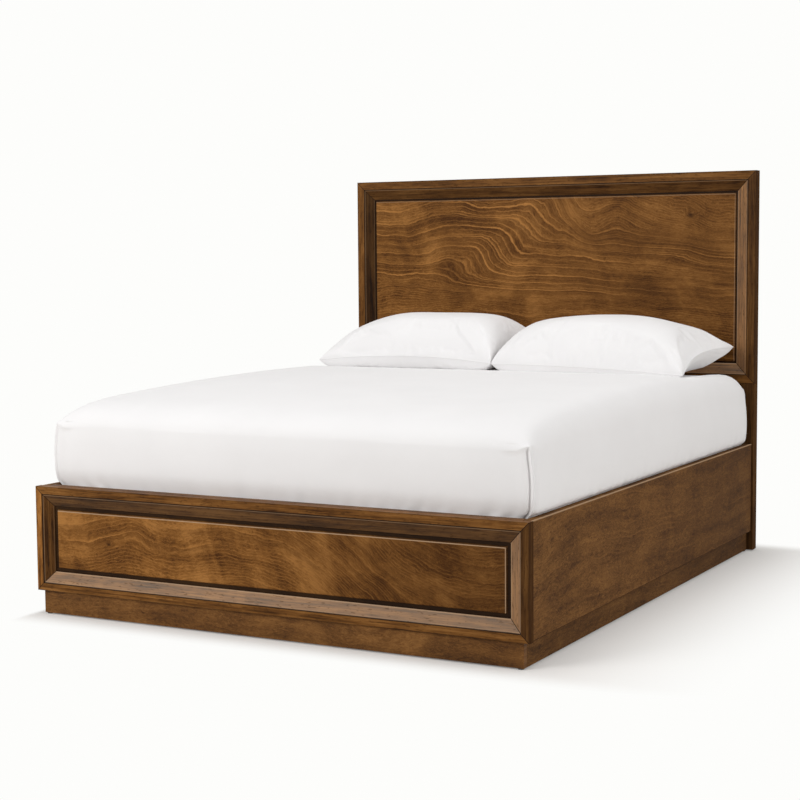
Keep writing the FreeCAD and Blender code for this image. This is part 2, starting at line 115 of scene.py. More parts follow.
# ------------------------------------------------------------------ shader building
class Wire:
    """One shader value. Python's operators on it add the Math nodes for the same sum."""

    def __init__(self, nodes, socket):
        self.nodes = nodes
        self.socket = socket

    def other(self, name):
        """Another output of the node that this value comes from."""
        return Wire(self.nodes, self.socket.node.outputs[name])

    def maths(self, operation, *values):
        """A Math node's result for some values."""
        return self.nodes.add("ShaderNodeMath", {"operation": operation}, dict(enumerate(values)))

    def __add__(self, value):
        return self.maths("ADD", self, value)

    __radd__ = __add__

    def __sub__(self, value):
        return self.maths("SUBTRACT", self, value)

    def __rsub__(self, value):
        return self.maths("SUBTRACT", value, self)

    def __mul__(self, value):
        return self.maths("MULTIPLY", self, value)

    __rmul__ = __mul__

    def __truediv__(self, value):
        return self.maths("DIVIDE", self, value)

    def __pow__(self, value):
        return self.maths("POWER", self, value)

    def __abs__(self):
        return self.maths("ABSOLUTE", self)

    def fract(self):
        """This value less the whole number below it."""
        return self.maths("FRACT", self)

    def sine(self):
        """The sine of this value in radians."""
        return self.maths("SINE", self)

    def low(self, value):
        """The lower of this value and another."""
        return self.maths("MINIMUM", self, value)

    def high(self, value):
        """The higher of this value and another."""
        return self.maths("MAXIMUM", self, value)

    def decay(self, rate):
        """exp(-rate x), x being this value."""
        return self.maths("EXPONENT", self * -rate)

    def bell(self, reach):
        """1 where this value is 0, falling off as exp(-(x / reach)^2)."""
        return (self * self).decay(1.0 / reach ** 2)

    def span(self, start, end):
        """0 where this value is at start, 1 where it is at end, eased and held outside."""
        return self.nodes.add(
            "ShaderNodeMapRange", {"interpolation_type": "SMOOTHSTEP", "clamp": True},
            {0: self, 1: start, 2: end, 3: 0.0, 4: 1.0})

    def stripe(self, at, inner, outer):
        """1 within inner of a place, 0 further than outer from it, eased between."""
        return 1.0 - abs(self - at).span(inner, outer)


class Nodes:
    """The node tree of a material or a world, cleared and then built node by node."""

    def __init__(self, owner):
        owner.use_nodes = True
        self.tree = owner.node_tree
        self.tree.nodes.clear()

    def add(self, kind, settings, inputs, out=0):
        """Add a node of a kind, set its settings, fill its sockets and give one of its outputs."""
        node = self.tree.nodes.new(kind)
        for name, value in settings.items():
            if name == "stops":
                ramp = node.color_ramp
                while len(ramp.elements) < len(value):
                    ramp.elements.new(0.5)
                for element, (place, colour) in zip(ramp.elements, value):
                    element.position = place
                    element.color = tuple(colour) + (1.0,)
            else:
                setattr(node, name, value)
        for key, value in inputs.items():
            socket = node.inputs[key]
            if isinstance(value, Wire):
                self.tree.links.new(value.socket, socket)
            elif value is not None:
                socket.default_value = tuple(value)[:3] + (1.0,) if socket.type == "RGBA" else value
        return Wire(self, node.outputs[out]) if node.outputs else None

    def seen(self):
        """1 for a ray from the camera, straight, mirrored or let through, and 0 for any other."""
        path = self.add("ShaderNodeLightPath", {}, {}, "Is Camera Ray")
        return path.high(path.other("Is Glossy Ray")).high(path.other("Is Transmission Ray"))


class Finish(Nodes):
    """A material that ends in a principled shader."""

    def __init__(self, name, sheen=0.0, metallic=0.0, specular=0.15, ior=1.5):
        self.material = bpy.data.materials.new(name)
        super().__init__(self.material)
        self.traits = {
            "Sheen Weight": sheen, "Metallic": metallic, "Specular IOR Level": specular, "IOR": ior}

    def place(self):
        """The object coordinates as x, y and z values."""
        coords = self.add("ShaderNodeTexCoord", {}, {}, "Object")
        x = self.add("ShaderNodeSeparateXYZ", {}, {0: coords}, "X")
        return x, x.other("Y"), x.other("Z")

    def noise(self, place, detail, rough=0.55, distort=0.0, scale=1.0):
        """Fractal noise at a place (x, y, z), from about 0 to 1 with a mean of a half."""
        where = self.add("ShaderNodeCombineXYZ", {}, dict(enumerate(place)))
        return self.add(
            "ShaderNodeTexNoise", {"noise_dimensions": "3D"},
            {"Vector": where, "Scale": scale, "Detail": detail, "Roughness": rough, "Distortion": distort})

    def mix(self, factor, first, second):
        """A colour between two colours."""
        return self.add("ShaderNodeMix", {"data_type": "RGBA"}, {0: factor, 6: first, 7: second}, 2)

    def ramp(self, value, stops):
        """A colour from stops of (value, colour)."""
        return self.add("ShaderNodeValToRGB", {"stops": stops}, {0: value})

    def bump(self, height, distance, strength):
        """A surface normal tilted by a height field."""
        return self.add(
            "ShaderNodeBump", {}, {"Strength": strength, "Distance": distance, "Height": height})

    def shade(self, colour, rough, normal=None):
        """The principled shader with this finish's own traits."""
        return self.add("ShaderNodeBsdfPrincipled", {}, {
            "Base Color": colour, "Roughness": rough, "Normal": normal, **self.traits})

    def output(self, shader):
        """Join a shader to the material's output and give the material."""
        self.add("ShaderNodeOutputMaterial", {}, {"Surface": shader})
        return self.material

    def end(self, colour, rough, normal):
        """Give the material, ending in its principled shader."""
        return self.output(self.shade(colour, rough, normal))


def tint(colour, factor):
    """A colour times a factor."""
    return tuple(min(1.0, c * factor) for c in colour)


# ------------------------------------------------------------------ wood
AXES = {"x": (0, 1, 2), "y": (1, 0, 2), "z": (2, 0, 1)}
LACQUER_IOR = 1.36
FULL_TURN = 6.28

# Half widths in metres of drawn lines: full within the first and gone past the second.
MITRE_LINE = (0.0007, 0.0020)
QUIRK_LINE = (0.0008, 0.0022)
SEAM_LINE = (0.0008, 0.0030)
EDGE_SHINE = (0.0006, 0.0020)
QUIRK_SHINE = (0.0005, 0.0016)
FIELD_SHINE = (0.0006, 0.0022)

# Spacing of the three families of growth lines, in metres of level.
BROAD_SPACING = 0.047
NARROW_SPACING = 0.0190
THIN_SPACING = 0.0098


def stain_stops(colours, tone, low, high, depth):
    """Ramp stops from the dark stain at low to the light stain at high, all times a tone."""
    return [
        (low, tint(colours.stain_dark, depth * tone)),
        (0.50, tint(colours.stain_mid, tone)),
        (high, tint(colours.stain_light, 0.88 * tone))]


def stained_board(name, colours, along, seed, tone, joints=None, bevel_shading_tone=1.0, shine=0.0, painted_sheen=0.0,
                  specular=0.12, rough=0.40):
    """Stained solid wood: long streaks, cloudy figure and short dark pores along one axis.

    joints = (half width, low z, high z, flat, width) draws the dark glaze of the mitres, the quirk
    and the outer edge: the mitre is where the distances from the side and from the end agree, and
    the quirk is where the nearer of them is the flat's width. The bevel beyond it has its own
    tone, bevel_shading_tone, which paints light on a side that faces the lamps and shade on one that
    faces away, and a painted sheen that stands for the lacquer's reflection. Its edge at the full
    width gets a painted highlight by shine, and so does a thin line beside the quirk. The side face
    is darker and rougher. Without joints the painted sheen lies over the whole board.
    """
    finish = Finish(name, specular=specular, ior=LACQUER_IOR)
    xyz = finish.place()
    a, b, c = (xyz[i] for i in AXES[along])
    drift = finish.noise((a * 1.3, b * 4.0, c * 4.0 + seed), 3.0)
    streak = finish.noise((a * 2.6 + seed, (b + drift * 0.02) * 88.0, c * 88.0), 5.0, 0.66)
    fibre = finish.noise((a * 14.0 + seed, b * 300.0, c * 300.0), 3.0, 0.6)
    cloud = finish.noise((a * 6.5 + seed, b * 14.0, c * 14.0), 4.0, 0.6, 0.6)
    pores = finish.noise((a * 50.0 + seed, b * 230.0, c * 230.0), 2.0, 0.5).span(0.60, 0.68)
    stain = streak * 0.48 + cloud * 0.26 + fibre * 0.26
    colour = finish.ramp(stain, stain_stops(colours, tone, 0.39, 0.62, 0.70))
    if joints:
        half, low, high, flat, width = joints
        side = half - abs(xyz[0])
        end = (xyz[2] - low).low(high - xyz[2])
        inner = side.low(end)
        bevel = inner.span(flat, flat + 0.001)
        # Painted light and shade: the bevel's tone is lighter on sides that face the lamps and darker on the
        # others.
        bevel_colour = finish.ramp(stain, stain_stops(colours, bevel_shading_tone, 0.39, 0.62, 0.70))
        colour = finish.mix(bevel, colour, bevel_colour)
        # Painted sheen on the bevel, standing for the lacquer's reflection.
        colour = finish.mix(bevel * painted_sheen, colour, colours.painted_sheen)
    colour = finish.mix(pores * 0.42, colour, tint(colours.stain_dark, 0.40))
    if joints:
        # Painted highlights: a light line on the bevel's outer edge by shine, and a fainter one beside the
        # quirk.
        painted_highlight = inner.stripe(width - 0.0012, *EDGE_SHINE) * shine
        painted_highlight = painted_highlight.high(inner.stripe(flat + 0.0034, *QUIRK_SHINE) * 0.30)
        colour = finish.mix(painted_highlight, colour, colours.painted_highlight)
        mitre = side.stripe(end, *MITRE_LINE)
        quirk = inner.stripe(flat + 0.0004, *QUIRK_LINE)
        outside = (1.0 - inner.span(0.0008, 0.0034)) * inner.span(0.0, 0.0006)
        line = mitre.high(quirk * 0.9).high(outside * 0.55)
        colour = finish.mix(line, colour, colours.glaze)
        side_face = 1.0 - side.span(0.0, 0.0015)
        colour = finish.mix(side_face * 0.55, colour, tint(colours.stain_dark, 0.6))
        rough = side_face * 0.40 + rough
    # Painted sheen over the whole board.
    elif painted_sheen:
        colour = finish.mix(painted_sheen, colour, colours.painted_sheen)
    height = streak * 0.5 + fibre * 0.3 - pores * 0.8
    return finish.end(colour, streak * 0.12 + pores * 0.2 + rough, finish.bump(height, 0.00022, 0.8))


def growth_lines(level, spacing, width):
    """Thin light lines where a level field crosses whole multiples of its spacing."""
    step = (level / spacing).fract()
    return (1.0 - step.span(0.0, width)) * step.span(0.0, width * 0.18)


def frame_glaze_and_shade(finish, xyz, colour, colours, frame_of):
    """Glaze and painted shade round a raised field, and painted highlights on its top and right arris.

    frame_of = (half width, low z, high z, gap, shine) of the moulding frame round the field.
    """
    half, low, high, gap, shine = frame_of
    top = high - xyz[2]
    edge = (half - abs(xyz[0])).low(xyz[2] - low).low(top)
    # Glaze and painted shade: the gap round the field is darkened, partly glaze and partly the shade in the
    # recess.
    recess = 1.0 - edge.span(gap - 0.0035, gap + 0.0008)
    colour = finish.mix(recess * 0.92, colour, colours.glaze)
    # Painted highlight on the field's top and right arris.
    near = top.low(half - xyz[0] + 0.0004)
    painted_highlight = near.stripe(gap + 0.0020, *FIELD_SHINE) * edge.span(gap - 0.001, gap + 0.001)
    return finish.mix(painted_highlight * shine, colour, colours.painted_highlight)


def veneered_panel(name, colours, bend, seed, strength, tone, across=(0, 2), frame_of=None, flame=0.0,
                   figure=0.34, knots=(), river=None, painted_falloff=0.0, specular=0.10, rough=0.40, lip=None,
                   painted_sheen=0.0, seams=(), weights=(1.0, 0.7, 0.16)):
    """Rotary veneer: growth lines follow the level lines of a height field that noise bends.

    u and v are the two axes in across. The field is v, plus bend(u, v), plus three sizes of noise.
    Three families of lines, with their weights, come and go in clusters, and short strokes run
    along the same level lines. Flame adds shimmering bands across the grain. At a knot
    (u, v, radius) the level rises as a bell, so the lines pass round it. The lines are richest at
    the level river, and painted_falloff paints shade that deepens towards higher u, as the light
    falls off away from the lamps. Short curly dark lines are the level lines of one more noise.
    The painted sheen is a pale tint over it all that stands for the lacquer's reflection, a seam
    (axis, place) is a dark joint line, and the arris at lip (z, |x|) gets a painted highlight.
    """
    finish = Finish(name, specular=specular, ior=LACQUER_IOR)
    xyz = finish.place()
    u, v = xyz[across[0]], xyz[across[1]]
    large = finish.noise((u * 2.4 + seed, v * 3.6, seed), 2.0, 0.45)
    middle = finish.noise((u * 9.0, v * 11.0 + seed, seed), 3.0, 0.5)
    fine = finish.noise((u * 42.0, v * 42.0, seed), 3.0, 0.6, 1.0)
    level = v + bend(u, v) + (large - 0.5) * 0.09 + (middle - 0.5) * 0.030 + (fine - 0.5) * 0.0075
    eye = None
    for at_u, at_v, radius in knots:
        apart = (u - at_u) * (u - at_u) + (v - at_v) * (v - at_v) * 2.0
        level = level + apart.decay(0.25 / radius ** 2) * radius * 2.0
        spot = apart.decay(1.0 / radius ** 2)
        eye = spot if eye is None else eye.high(spot)
    clusters = finish.noise((level * 8.0, u * 1.3, seed), 2.0, 0.5)
    if river:
        clusters = clusters * 0.75 + (level - river).bell(0.16) * 0.19 + 0.06
    fade = finish.noise((u * 3.1, v * 4.7, seed + 4.0), 2.0, 0.5).span(0.36, 0.62)
    rich = clusters.span(0.40, 0.56)
    broad = growth_lines(level, BROAD_SPACING, 0.20) * rich
    narrow = growth_lines(level + 0.011, NARROW_SPACING, 0.30) * clusters.span(0.46, 0.60)
    thin = growth_lines(level + 0.004, THIN_SPACING, 0.45) * (1.0 - clusters.span(0.42, 0.62))
    lines = (broad * (0.35 + fade * 0.65) * weights[0] + narrow * (0.36 + fade * 0.64) * weights[1]
             + thin * weights[2]) * strength
    band = finish.noise((level * 26.0, u * 1.6, seed), 4.0, 0.6)
    cloud = finish.noise((u * 4.6 + seed, v * 6.5, seed), 4.0, 0.6, 0.7)
    stroke = finish.noise((level * 150.0, u * 42.0, seed), 4.0, 0.7, 1.6)
    stain = band * 0.28 + cloud * figure + stroke * (0.72 - figure)
    if flame:
        shimmer = finish.noise((u * 15.0 + v * 5.0, v * 2.0, seed + 2.0), 3.0, 0.5, 0.5)
        stain = stain + (shimmer - 0.5) * flame
    colour = finish.ramp(stain, stain_stops(colours, tone, 0.385, 0.615, 0.90))
    colour = finish.mix(lines.low(1.0) * 0.80, colour, tint(colours.stain_light, 1.30 * tone))
    shade = (level / BROAD_SPACING).fract().span(0.25, 1.0) * rich
    curl = finish.noise((u * 17.0, level * 30.0, seed + 9.0), 4.0, 0.6, 0.8)
    worm = growth_lines(curl, 0.052, 0.42) * cloud.span(0.62, 0.40)
    pores = finish.noise((u * 150.0, v * 420.0, seed), 2.0, 0.5).span(0.65, 0.73)
    for share, depth in ((shade * 0.30 * strength, 0.9 * tone), (worm * 0.60, 0.8), (pores * 0.50, 0.55)):
        colour = finish.mix(share, colour, tint(colours.stain_dark, depth))
    # Painted shade: darker towards higher u, as the key lamp's light falls off.
    if painted_falloff:
        colour = finish.mix(u.span(-0.35, 0.80) * painted_falloff, colour, tint(colours.stain_dark, 0.6))
    # Painted sheen: a pale tint for the lacquer's reflection.
    if painted_sheen:
        colour = finish.mix(painted_sheen, colour, colours.painted_sheen)
    for axis, at in seams:
        colour = finish.mix(xyz[axis].stripe(at, *SEAM_LINE) * 0.9, colour, colours.glaze)
    if eye:
        colour = finish.mix(eye * 0.85, colour, tint(colours.stain_dark, 0.5))
    if frame_of:
        colour = frame_glaze_and_shade(finish, xyz, colour, colours, frame_of)
    # Painted highlight along the rail's top outer arris.
    if lip:
        height, out = lip
        near = xyz[2].span(height - 0.0040, height - 0.0015) * abs(xyz[0]).span(out - 0.0060, out - 0.0030)
        colour = finish.mix(near * 0.80, colour, colours.painted_highlight)
    normal = finish.bump(stroke * 0.6 - pores + lines * 0.3, 0.00018, 0.7)
    return finish.end(colour, stroke * 0.10 + pores * 0.2 + rough, normal)


def head_bend(u, v):
    """Lines run level at the left, drop in a slanting front near the middle and again further
    right, rise in a small hump behind that and then sink slowly to the right."""
    fall = (u + 0.20 - (v - 1.15) * 1.5).span(-0.17, 0.17) * 0.10 * v.span(0.90, 1.06)
    second = (u + (v - 1.25) * 0.5).span(0.05, 0.19) * 0.105 * v.span(1.10, 1.22)
    third = u.span(0.56, 0.70) * 0.05 * v.span(1.02, 1.15)
    hump = (u - 0.30).bell(0.075) * 0.030 * v.span(1.08, 1.20)
    arch = (u + 0.38).bell(0.15) * 0.022
    wave = (u * 15.0 + v * 9.0).sine() * 0.005
    return fall + second + third + u.span(-0.25, 1.1) * 0.10 + wave - hump - arch


def foot_bend(u, v):
    """Arches at the left, fine slanting lines right of the middle and a wave near the right end."""
    slant = u.span(0.05, 0.62) * 0.34
    arch = (u + 0.50).bell(0.12) * 0.045 + (u + 0.12).bell(0.16) * 0.030
    wave = (u * 21.0).sine() * 0.012 * u.span(0.35, 0.6)
    return slant + wave - arch


def rail_bend(u, v):
    """Slow waves along a rail or plinth."""
    return (u * 3.1).sine() * 0.03


def raw_wood(name, light, dark, along, seed, rings):
    """Unfinished softwood: bands of early and late wood along one axis, with a few small knots."""
    finish = Finish(name, specular=0.3)
    xyz = finish.place()
    a, b, c = (xyz[i] for i in AXES[along])
    bend = finish.noise((a * 1.2 + seed, b * 3.0, c * 3.0), 2.0)
    band = ((b + c * 0.4 + bend * 0.05) * rings * FULL_TURN).sine() * 0.5 + 0.5
    fibre = finish.noise((a * 3.0 + seed, b * 150.0, c * 150.0), 4.0, 0.6)
    cells = finish.add("ShaderNodeCombineXYZ", {}, {0: a * 1.7 + seed, 1: b * 6.0, 2: c * 6.0})
    apart = finish.add(
        "ShaderNodeTexVoronoi", {"feature": "F1"}, {"Vector": cells, "Scale": 1.0}, "Distance")
    knot = apart.span(0.12, 0.05)
    colour = finish.ramp(band * 0.45 + fibre * 0.55, [(0.2, dark), (0.8, light)])
    colour = finish.mix(knot * 0.8, colour, tint(dark, 0.45))
    return finish.end(colour, 0.62 + fibre * 0.2, finish.bump(fibre + band * 0.3, 0.0002, 0.6))


# ------------------------------------------------------------------ metal, plastic and cloth finishes
def zinc_plate(name):
    """Zinc-plated steel: dull and grey, with faint rolling marks and a cloudy passivated tint."""
    finish = Finish(name, metallic=1.0)
    x, y, z = finish.place()
    marks = finish.noise((x * 900.0, y * 900.0, z * 40.0), 3.0)
    cloud = finish.noise((x, y, z), 3.0, scale=55.0)
    colour = finish.ramp(cloud, [(0.3, (0.23, 0.23, 0.225)), (0.7, (0.33, 0.33, 0.34))])
    return finish.end(colour, 0.42 + marks * 0.22, finish.bump(marks, 0.00005, 0.5))


def moulded_plastic(name, colour):
    """Moulded plastic with a fine even texture and lighter scuffs."""
    finish = Finish(name, specular=0.4)
    xyz = finish.place()
    grain = finish.noise(xyz, 2.0, scale=1400.0)
    scuff = finish.noise(xyz, 4.0, 0.7, scale=160.0).span(0.60, 0.75)
    shade = finish.mix(scuff * 0.35, colour, tint(colour, 2.6))
    return finish.end(shade, 0.52 + grain * 0.15, finish.bump(grain, 0.0001, 0.5))


def plain_cotton(name, cotton, seed, crease):
    """White woven cotton: a fine weave, soft ironed creases and hardly any change of tone."""
    finish = Finish(name, sheen=0.12, specular=0.2)
    x, y, z = finish.place()
    warp = finish.noise((x * 1500.0, y * 260.0, z * 260.0), 2.0)
    weft = finish.noise((x * 260.0, y * 1500.0, z * 1500.0), 2.0)
    cloud = finish.noise((x + seed, y, z), 3.0, scale=5.0)
    soft = finish.noise((x + seed, y, z), 3.0, 0.5, 0.4, scale=17.0)
    colour = finish.ramp(cloud * 0.7 + warp * 0.15 + weft * 0.15, [
        (0.3, tint(cotton, 0.975)), (0.7, tint(cotton, 1.012))])
    height = (warp + weft) * 0.05 + soft * crease
    return finish.end(colour, 0.86 + warp * 0.06, finish.bump(height, 0.0011, 0.55))


def striped_ticking(name):
    """Mattress ticking: a twill ground with narrow grey stripes and a quilted wave."""
    finish = Finish(name, sheen=0.1, specular=0.2)
    x, y, z = finish.place()
    twill = ((x + y + z) * 2600.0).sine() * 0.5 + 0.5
    mark = (x * 22.0).fract().stripe(0.5, 0.05, 0.08)
    waves = [abs((p * 26.0 + (q * 18.0).sine() * 0.8).sine()) for p, q in ((x, y), (y, x))]
    quilt = waves[0] * waves[1]
    fuzz = finish.noise((x, y, z), 2.0, scale=700.0)
    colour = finish.mix(mark * 0.45, (0.78, 0.77, 0.74), (0.47, 0.49, 0.52))
    colour = finish.mix(fuzz * 0.12, colour, (0.55, 0.54, 0.52))
    return finish.end(colour, 0.85 + fuzz * 0.1, finish.bump(quilt + twill * 0.03, 0.004, 0.6))


# ------------------------------------------------------------------ finishes of the frame's nodes
SIDES = (("top", "x"), ("bottom", "x"), ("left", "z"), ("right", "z"))

# Flat of the moulding, its full width, gap round the raised field and the painted highlight on the
# field's arris, then for each of SIDES the tone of the flat and the tone of the bevel, which paint
# light on the sides that face the lamps and shade on the others, the painted sheen and the painted
# highlight on the edge.
BOARDS = {
    "headboard": (0.032, 0.0735, 0.0820, 0.35, (
        (0.92, 0.56, 0.0, 0.0), (0.90, 1.60, 0.25, 0.9), (1.05, 0.28, 0.0, 0.1), (0.54, 1.55, 0.17, 0.5))),
    "footboard": (0.0245, 0.0605, 0.0745, 0.95, (
        (1.08, 0.54, 0.03, 0.0), (1.06, 1.90, 0.36, 0.9), (1.75, 0.62, 0.0, 0.1), (0.54, 1.42, 0.22, 0.5))),
}
# painted_falloff is painted shade that deepens to the right.
VENEERS = {
    "headboard": dict(
        bend=head_bend, seed=2.0, strength=1.0, tone=1.24, flame=0.10, river=1.24,
        knots=((0.592, 1.262, 0.013),), painted_falloff=0.30, weights=(1.0, 0.95, 0.45)),
    "footboard": dict(
        bend=foot_bend, seed=7.0, strength=0.80, tone=1.34, flame=0.26,
        knots=((-0.572, 0.237, 0.006),), painted_falloff=0.50, weights=(0.55, 0.60, 0.50)),
}
UPRIGHTS = ("headboard_leg_left", "headboard_leg_right", "headboard_post_left", "headboard_post_right")
CROSS_BOARDS = (
    "headboard_lower_rail", "headboard_back_rail_top", "headboard_back_rail_bottom", "footboard_core")
SIDE_BOARDS = ("side_rail_left", "side_rail_right", "plinth_side_left", "plinth_side_right")
LENGTHWAYS = ("slat_ledger_left", "slat_ledger_right", "centre_beam")
STANDING = (
    "centre_leg_front", "centre_leg_middle", "centre_leg_rear", "plinth_block_left", "plinth_block_right")
STEEL = ("rail_hook_plates", "rail_strike_plates", "beam_hanger_front", "beam_hanger_rear")
FEET = ("levelling_foot_front", "levelling_foot_middle", "levelling_foot_rear")

# Light and dark wood of the raw parts.
PLYWOOD = (0.40, 0.25, 0.13), (0.27, 0.15, 0.07)
SLAT_PINE = (0.74, 0.56, 0.35), (0.58, 0.39, 0.21)
FRAME_PINE = (0.62, 0.45, 0.27), (0.45, 0.29, 0.15)


def give(node, material):
    """Put a material on a carried-over node of the frame."""
    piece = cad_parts[node]
    if not piece.material_slots:
        piece.data.materials.append(material)
    for slot in piece.material_slots:
        slot.material = material


def finish_end_boards(colours):
    """Stain the mouldings of the headboard and the footboard, and veneer their panels."""
    for i, (board, (flat, width, gap, shine, tones)) in enumerate(BOARDS.items()):
        low, high = node_box(board + "_moulding_bottom")[0], node_box(board + "_moulding_top")[1]
        outline = (high[0], low[2], high[2])
        # The tones of each side paint light and shade, its painted_sheen stands for reflection and its edge
        # shine is a painted highlight.
        for j, ((side, along), (tone, bevel_shading_tone, painted_sheen, edge_shine)) in enumerate(zip(SIDES, tones)):
            name = "%s_moulding_%s" % (board, side)
            give(name, stained_board(
                name, colours, along, 3.1 * i + 7.7 * j, tone, outline + (flat, width), bevel_shading_tone,
                edge_shine, painted_sheen))
        give(board + "_panel", veneered_panel(
            board + "_veneer", colours, frame_of=outline + (gap, shine), **VENEERS[board]))


def finish_sides(colours):
    """Veneer the side rails and the plinth, with dark joints round the rails."""
    # Painted light: each board gets a faint painted sheen, and the rails get painted shade towards the head
    # and a painted highlight on their top outer arris.
    for i, name in enumerate(SIDE_BOARDS):
        low, high = node_box(name)
        tone, lip, seams = 0.76, None, ()
        if name.startswith("side_rail"):
            tone, lip, seams = 0.88, (RAIL_TOP, RAIL_OUTSIDE), ((1, low[1]), (1, high[1]), (2, low[2]))
        give(name, veneered_panel(
            name, colours, rail_bend, 11.0 + 3.0 * i, 0.30, tone, across=(1, 2), figure=0.18, painted_falloff=0.28,
            specular=0.03, rough=0.60, lip=lip, painted_sheen=0.05, seams=seams))
    give("plinth_front", veneered_panel("plinth_front", colours, rail_bend, 31.0, 0.3, 1.0, painted_sheen=0.03))


def finish_rest(colours):
    """Stain the uprights and the cross boards, and leave the back panel and the base raw."""
    # The uprights get a faint painted sheen.
    for i, name in enumerate(UPRIGHTS):
        give(name, stained_board(
            name, colours, "z", 17.0 + 2.3 * i, 0.44, painted_sheen=0.02, specular=0.03, rough=0.70))
    for i, name in enumerate(CROSS_BOARDS):
        give(name, stained_board(name, colours, "x", 41.0 + 2.9 * i, 0.95))
    give("headboard_back_panel", raw_wood("back_panel_plywood", *PLYWOOD, "x", 5.0, 7.0))
    slats = sorted(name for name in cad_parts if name.startswith("slat_") and name[5:].isdigit())
    for i, name in enumerate(slats):
        give(name, raw_wood(name, *SLAT_PINE, "x", 3.7 * i, 34.0))
    for names, along, seed in ((LENGTHWAYS, "y", 60.0), (STANDING, "z", 71.0)):
        for name in names:
            give(name, raw_wood(name, *FRAME_PINE, along, seed, 30.0))


# ------------------------------------------------------------------ mesh building
def grid_faces(rows, columns, wrap=True, close=False):
    """Quads between the points of a grid, counted row by row.

    Each row is closed round by wrap, and the last row is joined to the first by close.
    """
    r = np.arange(rows if close else rows - 1)[:, None] * columns
    c = np.arange(columns if wrap else columns - 1)[None, :]
    next_r = (r + columns) % (rows * columns)
    next_c = (c + 1) % columns
    return np.stack([r + c, r + next_c, next_r + next_c, next_r + c], -1).reshape(-1, 4)


def build_mesh(name, points, faces, weld=0.0):
    """A smooth object from an array of points and quads, with points nearer than weld merged."""
    mesh = bpy.data.meshes.new(name)
    mesh.from_pydata(points.reshape(-1, 3).tolist(), [], faces.tolist())
    piece = bpy.data.objects.new(name, mesh)
    bpy.context.scene.collection.objects.link(piece)
    if weld:
        work = bmesh.new()
        work.from_mesh(mesh)
        bmesh.ops.remove_doubles(work, verts=work.verts, dist=weld)
        bmesh.ops.recalc_face_normals(work, faces=work.faces)
        work.to_mesh(mesh)
        work.free()
    mesh.polygons.foreach_set("use_smooth", np.ones(len(mesh.polygons), bool))
    mesh.update()
    return piece


def read_points(mesh):
    """A mesh's points as rows of x, y and z."""
    values = np.empty(len(mesh.vertices) * 3)
    mesh.vertices.foreach_get("co", values)
    return values.reshape(-1, 3)


def write_points(mesh, points):
    """Move a mesh's points to new places."""
    mesh.vertices.foreach_set("co", points.ravel())
    mesh.update()


def tube_points(path, radius, sides=8):
    """Points round a closed path: each ring lies across the path's own direction, radius away."""
    along = np.roll(path, -1, 0) - np.roll(path, 1, 0)
    along /= np.linalg.norm(along, axis=1)[:, None]
    out = np.cross(along, (0.0, 0.0, 1.0))
    out /= np.linalg.norm(out, axis=1)[:, None]
    rise = np.cross(out, along)
    turn = np.linspace(0, 2 * np.pi, sides, endpoint=False)
    return path[:, None] + radius * (
        np.cos(turn)[None, :, None] * out[:, None] + np.sin(turn)[None, :, None] * rise[:, None])


def smooth_rows(values, reach):
    """Values along a profile, each made the weighted mean of its neighbours, with the ends kept."""
    weights = np.exp(-0.5 * (np.arange(-3 * reach, 3 * reach + 1) / reach) ** 2)
    weights /= weights.sum()
    padded = np.concatenate([np.full(3 * reach, values[0]), values, np.full(3 * reach, values[-1])])
    return np.convolve(padded, weights, "valid")


def eased(values):
    """0 below 0, 1 above 1, and 3t^2 - 2t^3 between."""
    t = np.clip(values, 0, 1)
    return t * t * (3 - 2 * t)


def bell(values, middle, reach):
    """exp(-((x - middle) / reach)^2)."""
    return np.exp(-((values - middle) / reach) ** 2)


# ------------------------------------------------------------------ mattress and sheet
# Inset from the widest outline and height of the side below its edge, from the bottom up.
SIDE_POINTS = np.array([
    (0.0400, 0.3403), (0.0310, 0.3500), (0.0200, 0.3930), (0.0188, 0.4050), (0.0080, 0.4110),
    (0.0038, 0.4210), (0.0008, 0.4560), (0.0000, 0.4950), (0.0024, 0.5450)])
# Insets of the edge and of the rows over the top, whose height is top_height.
TOP_INSETS = np.array([0.008, 0.012, 0.018, 0.030, 0.050, 0.080, 0.130, 0.200, 0.300, 0.450, 0.620, 0.831])
# Inset, and how much the corner radius has grown there.
CORNER_GROWTH = (0.000, 0.030, 0.100, 0.200, 0.400), (0.000, 0.012, 0.060, 0.095, 0.160)
# Inset, and the share of it that the head and the foot end have.
END_SHARES = (0.000, 0.028, 0.060), (0.35, 0.60, 1.00)
SIDE_SWELL = 0.002
TOP_GROWTH = 2.1
PROFILE_STEP = 0.002
ROUNDING = 0.009
BODY_INSET = 0.009
HEM_GAP, HEM_HEIGHTS = 0.0009, (0.014, 0.002)

# Gathers as their count round the sheet and share of the depth, and waves with a depth in metres.
GATHERS = ((71, 1.0), (97, 0.9), (128, 0.8), (43, 0.7))
WAVES = ((9, 0.0011), (17, 0.0009), (31, 0.0006))
# Height, place and reach, across a corner seam, of its lip, its groove and the hollow beside it.
SEAM_FORMS = ((0.0062, 0.0040, 0.0034), (-0.0085, -0.0034, 0.0030), (-0.0060, -0.040, 0.030))
# How far the sheet stays clear of the wood below the rails' tops.
WOOD_CLEARANCE = 0.0008

# Rows up the side, rows over the top, steps along a side and steps round a corner.
BODY_STEPS = (24, 26, 60, 12)
SHEET_STEPS = (42, 36, 190, 40)
UNDERSIDE_RINGS = 8
WELD = 0.00002

CROWN_LINE = 0.15
SHOULDER_START = 0.012
SHOULDER_ROUND = 0.6
FOOT_POWER, HEAD_POWER = 16.0, 30.0
SHOULDER_INSETS = (0.008, 0.0034)
DENT_REACH = (0.80, 0.34)
DENT_MIDDLE = 0.745
DENT_SLOPE = 0.12


